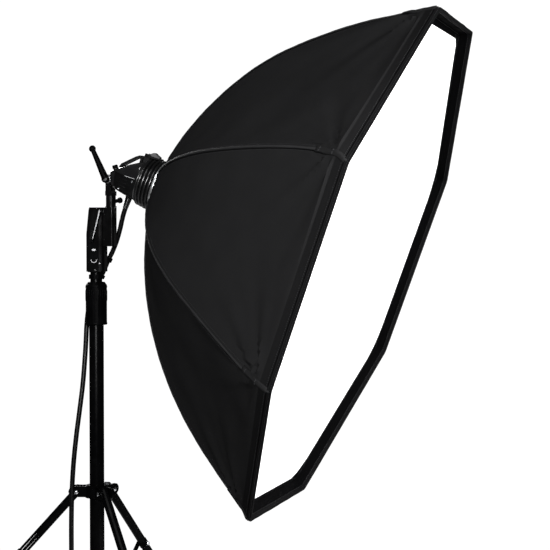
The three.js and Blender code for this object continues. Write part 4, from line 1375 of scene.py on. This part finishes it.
def make_adapter():
    """Screws, pale release marks, clamp ring, spigot collar, lock knob and pivot washers."""
    screws("adapter_screws", [((19.2, -2, 1110), (1, 0, 0)), ((19.2, -2, 1076), (1, 0, 0))], 3.4,
           SCREW, "adapter", STAND, 2.4)
    dark = [((-14.1, -22.5, 1190), (-1, 0, 0)), ((-14.1, -22.5, 1132), (-1, 0, 0))]
    screws("post_screws", dark, 2.8, GLOSS, "adapter", STAND, 1.6)
    # The oval boss, wire arc and small dot are pale: painted highlights where the adapter's side catches
    # light.
    bosses = Shape()
    pill = [(-4.5, -2.2), (4.5, -2.2), (4.5, 2.2), (-4.5, 2.2)]
    bosses.join(prism(pill, -0.4, 2.2, 2.1, 4), frame_on((-19.2, -2, 1110), (-1, 0, 0), (0, 1, 0)))
    arc = [(-20.2, -2 + 7 * math.cos(a), 1087 + 6 * math.sin(a))
           for a in (math.pi + math.pi * i / 14 for i in range(15))]
    bosses.join(tube([(-18.5, -9, 1087.6), *arc, (-18.5, 5, 1087.6)], 0.8, 10))
    bosses.join(solid_lathe([(1.6, 0), (1.6, 1.2), (0.9, 1.7)], 16),
                frame_on((-19.0, -15.5, 1079), (-1, 0, 0)))
    new_piece("adapter_release_painted_highlights", bosses, PAINTED_HIGHLIGHT, "adapter", bevel=0.4)
    ring = hoop(14.3, 19.8, 1058.5, 1066, 64, 1.0)
    new_piece("adapter_clamp_ring", ring, GLOSS, "adapter")
    collar = Shape().join(hoop(8.6, 13.2, 0, 2.6, 48, 0.7), Matrix.Translation((0, POST_Y, 1207.2)))
    new_piece("spigot_collar", collar, GLOSS, "adapter")
    knob = Shape()
    ahead = frame_on((0, POST_Y - 10.5, 1221), (0, -1, 0.18))
    knob.join(solid_lathe([(4.4, 0), (4.4, 7.5)], 24), ahead)
    knob.join(lathe([(0.4, 7), (5.4, 7), (5.9, 8.5), (5.9, 15), (4.6, 17), (0.4, 17)], 40, 0.8), ahead)
    for i in range(8):
        a = TURN * i / 8
        rib = tube([on_circle(5.8, a, z) for z in (8.6, 15.2)], 0.9, 8)
        knob.join(rib, ahead)
    new_piece("spigot_lock_knob", knob, NYLON, "adapter")
    bushes = Shape()
    for x0, x1 in ((-20.1, -19.0), (19.0, 19.5)):
        bushes.join(hoop(5.4, 9.6, x0, x1, 40, 0.2), frame_on((0, FORK_Y, PIVOT_Z), (1, 0, 0)))
    new_piece("pivot_washers", bushes, SCREW, "adapter")


def make_lever():
    lean = math.radians(13)
    outline = [on_circle(9, math.pi * i / 16).xy for i in range(17)]
    outline += [Vector((0, -66)) + on_circle(5.5, math.pi + math.pi * i / 12).xy for i in range(13)]
    rings = []
    for shrink, x in ((0.6, 0.0), (0.0, 0.6), (0.0, 4.3), (2.1, 6.4)):
        rings.append([(u * (1 - shrink / 9), v + (shrink if v < -30 else -shrink) * 0.5, x)
                      for u, v in outline])
    shape = Shape().join(loft(rings), Matrix(((0, 0, -1, 0), (-1, 0, 0, 0), (0, 1, 0, 0), (0, 0, 0, 1))))
    space = STAND @ Matrix.Translation((-19.4, -11.4, 1196)) @ Matrix.Rotation(lean, 4, "X")
    new_piece("lever_plate", shape, GLOSS, "adapter_lever", space, replaces=["adapter_lever"], angle=30)
    pad = Shape()
    for i in range(5):
        pad.join(block(-6.95, -6.2, -3.6, 3.6, -62 + 4.2 * i, -60.4 + 4.2 * i))
    # A pale tube along the lever's front edge stands for its broad chamfer catching light: a painted
    # highlight.
    edge = [(-1.0, 6.6, 4.5), (-4.4, 5.4, 5.6), (-5.6, -2, 5.6), (-5.2, -22, 5.0), (-5.0, -45, 4.2),
            (-5.0, -62, 3.4)]
    rim = tube([(-6.2, -across, down) for _, down, across in edge], [1.0, 1.5, 1.5, 1.3, 1.1, 0.8], 10)
    new_piece("lever_edge_painted_highlight", rim, PAINTED_HIGHLIGHT, "adapter_lever", space)
    new_piece("lever_grip", pad, RUBBER, "adapter_lever", space, bevel=0.25)


def make_column():
    """Tubes with their end rings, the riser's bush, and the clamp sleeve's seal, bands and grip ribs."""
    outer = hoop(COLUMN_R - 1.8, COLUMN_R, COLUMN_BOTTOM, COLUMN_TOP, 72, 0.5)
    new_piece("column_tube", outer, PAINT, "stand", replaces=["base_column"])
    inner = hoop(RISER_R - 1.5, RISER_R, RISER_BOTTOM, RISER_TOP, 64, 0.5)
    new_piece("riser_bar", inner, PAINT, "riser", replaces=["riser_tube"])
    bush = hoop(RISER_R + 0.1, COLUMN_R - 1.9, RISER_BOTTOM + 1, RISER_BOTTOM + 30, 48, 0.6)
    new_piece("riser_bush", bush, NYLON, "riser")
    seal = lathe([(RISER_R + 0.2, 1033.3), (18.4, 1033.3), (17.6, 1035.7), (RISER_R + 0.2, 1035.7)], 56, 0.5)
    new_piece("sleeve_seal", seal, RUBBER, "stand")
    rings = Shape()
    for z, r in ((941, 24.5), (1024.5, 24.5)):
        rings.join(hoop(r - 1, r + 0.7, z - 1.6, z + 1.6, 72, 0.7))
    new_piece("sleeve_bands", rings, NYLON, "stand")
    grips = Shape()
    for i in range(18):
        a = math.radians(70) + math.radians(220) * i / 17
        path = [on_circle(24.4, a, z) for z in (992, 996, 1014, 1018)]
        grips.join(tube(path, [0.4, 0.9, 0.9, 0.4], 8))
    new_piece("sleeve_grip", grips, NYLON, "stand")


def domed_heads(outline, pivot, axis, reach):
    """A rivet's two heads, at the same distance on both sides of a pivot."""
    shape = Shape()
    for side in (-1, 1):
        shape.join(solid_lathe(outline, 28), frame_on(pivot + axis * side * reach, axis * side))
    return shape


def make_legs():
    """End caps, bands, rivets and ribbed feet, leg by leg, then the brace slider's bands."""
    for i in (1, 2, 3):
        fold = JOINTS[f"leg_fold_{i}"]
        turn = JOINTS[f"brace_turn_{i}"]
        pivot, mid = Vector(fold["pos_m"]) / MM, Vector(turn["pos_m"]) / MM
        along = (mid - pivot).normalized()
        axis = Vector(fold["axis"])
        foot_at = (pivot.z - 13) / -along.z
        rings = Shape()
        for k in range(5):
            at = pivot + along * (foot_at - 37 + 5.5 * k)
            rings.join(hoop(11.4, 13.1, -1.1, 1.1, 40, 0.8), frame_on(at, along))
        new_piece(f"foot_ribs_{i}", rings, RUBBER, f"leg_{i}")
        cap = Shape().join(lathe([(3, -12.6), (10.3, -12.6), (10.3, -6), (10, -6), (3, -6)], 40, 0.8),
                           frame_on(pivot, along))
        new_piece(f"leg_cap_{i}", cap, NYLON, f"leg_{i}")
        clamp = Shape().join(hoop(9.9, 11.6, -9, 9, 40, 1.2), frame_on(mid, along))
        new_piece(f"leg_band_{i}", clamp, NYLON, f"leg_{i}")
        rivets = domed_heads([(4.6, -0.2), (4.6, 0.7), (3.6, 1.7), (1.6, 2.2), (0.2, 2.3)], mid, axis, 14.4)
        new_piece(f"brace_rivets_{i}", rivets, SCREW, f"brace_{i}")
        heads = domed_heads([(4.8, -0.2), (4.8, 1.0), (3.6, 2.1), (1.6, 2.6), (0.2, 2.7)], pivot, axis, 16.8)
        new_piece(f"collar_rivets_{i}", heads, SCREW, "stand", ROOM)
    slider_z = LEG_PIVOT_Z - 2 * BRACE * math.cos(LEG_SPREAD)
    bands = Shape()
    for z in (-12.5, 10.5):
        bands.join(hoop(25, 26.8, slider_z + z - 1.2, slider_z + z + 1.2, 64, 0.6))
    new_piece("slider_bands", bands, NYLON, "brace_slider")


make_adapter()
make_lever()
make_column()
make_legs()
FINISHES = {
    "tilt_tongue": (PAINT, 0.8), "tilt_fork": (GLOSS, 0.6), "adapter_body": (GLOSS, 1.0),
    "carry_bail": (HOUSING, 0.8), "test_button": (GREY, 0.4),
    "glass_dome": (FROSTED, 0), "flash_tube": (FROSTED, 0), "modelling_lamp": (FROSTED, 0),
    "column_cap": (NYLON, 0.8), "clamp_sleeve": (NYLON, 0.9), "sleeve_knob": (NYLON, 0.8),
    "leg_collar": (PAINT, 0.9), "collar_screw": (SCREW, 0.4), "brace_slider": (NYLON, 0.8),
    "adapter_clip": (NYLON, 0.6), "riser_clip": (NYLON, 0.6),
}
for i in (1, 2, 3):
    FINISHES |= {f"leg_{i}": (PAINT, 0.6), f"foot_{i}": (RUBBER, 0.8), f"brace_{i}": (PAINT, 0.6)}
for node, (finish, bevel) in FINISHES.items():
    dress(node, finish, bevel=bevel)


# ------------------------------------------------------------------ floor
def make_floor():
    disc = Shape()
    n = 96
    disc.add([on_circle(2000, TURN * i / n, -1) for i in range(n)], [list(range(n))])
    pale = Finish("pale_floor", (0.55, 0.55, 0.55), 0.7, Specular_IOR_Level=0.2)
    pale.mix_colour(pale.noise(3, 4), (0.5, 0.5, 0.5))
    floor = new_piece("floor", disc, pale)


make_floor()
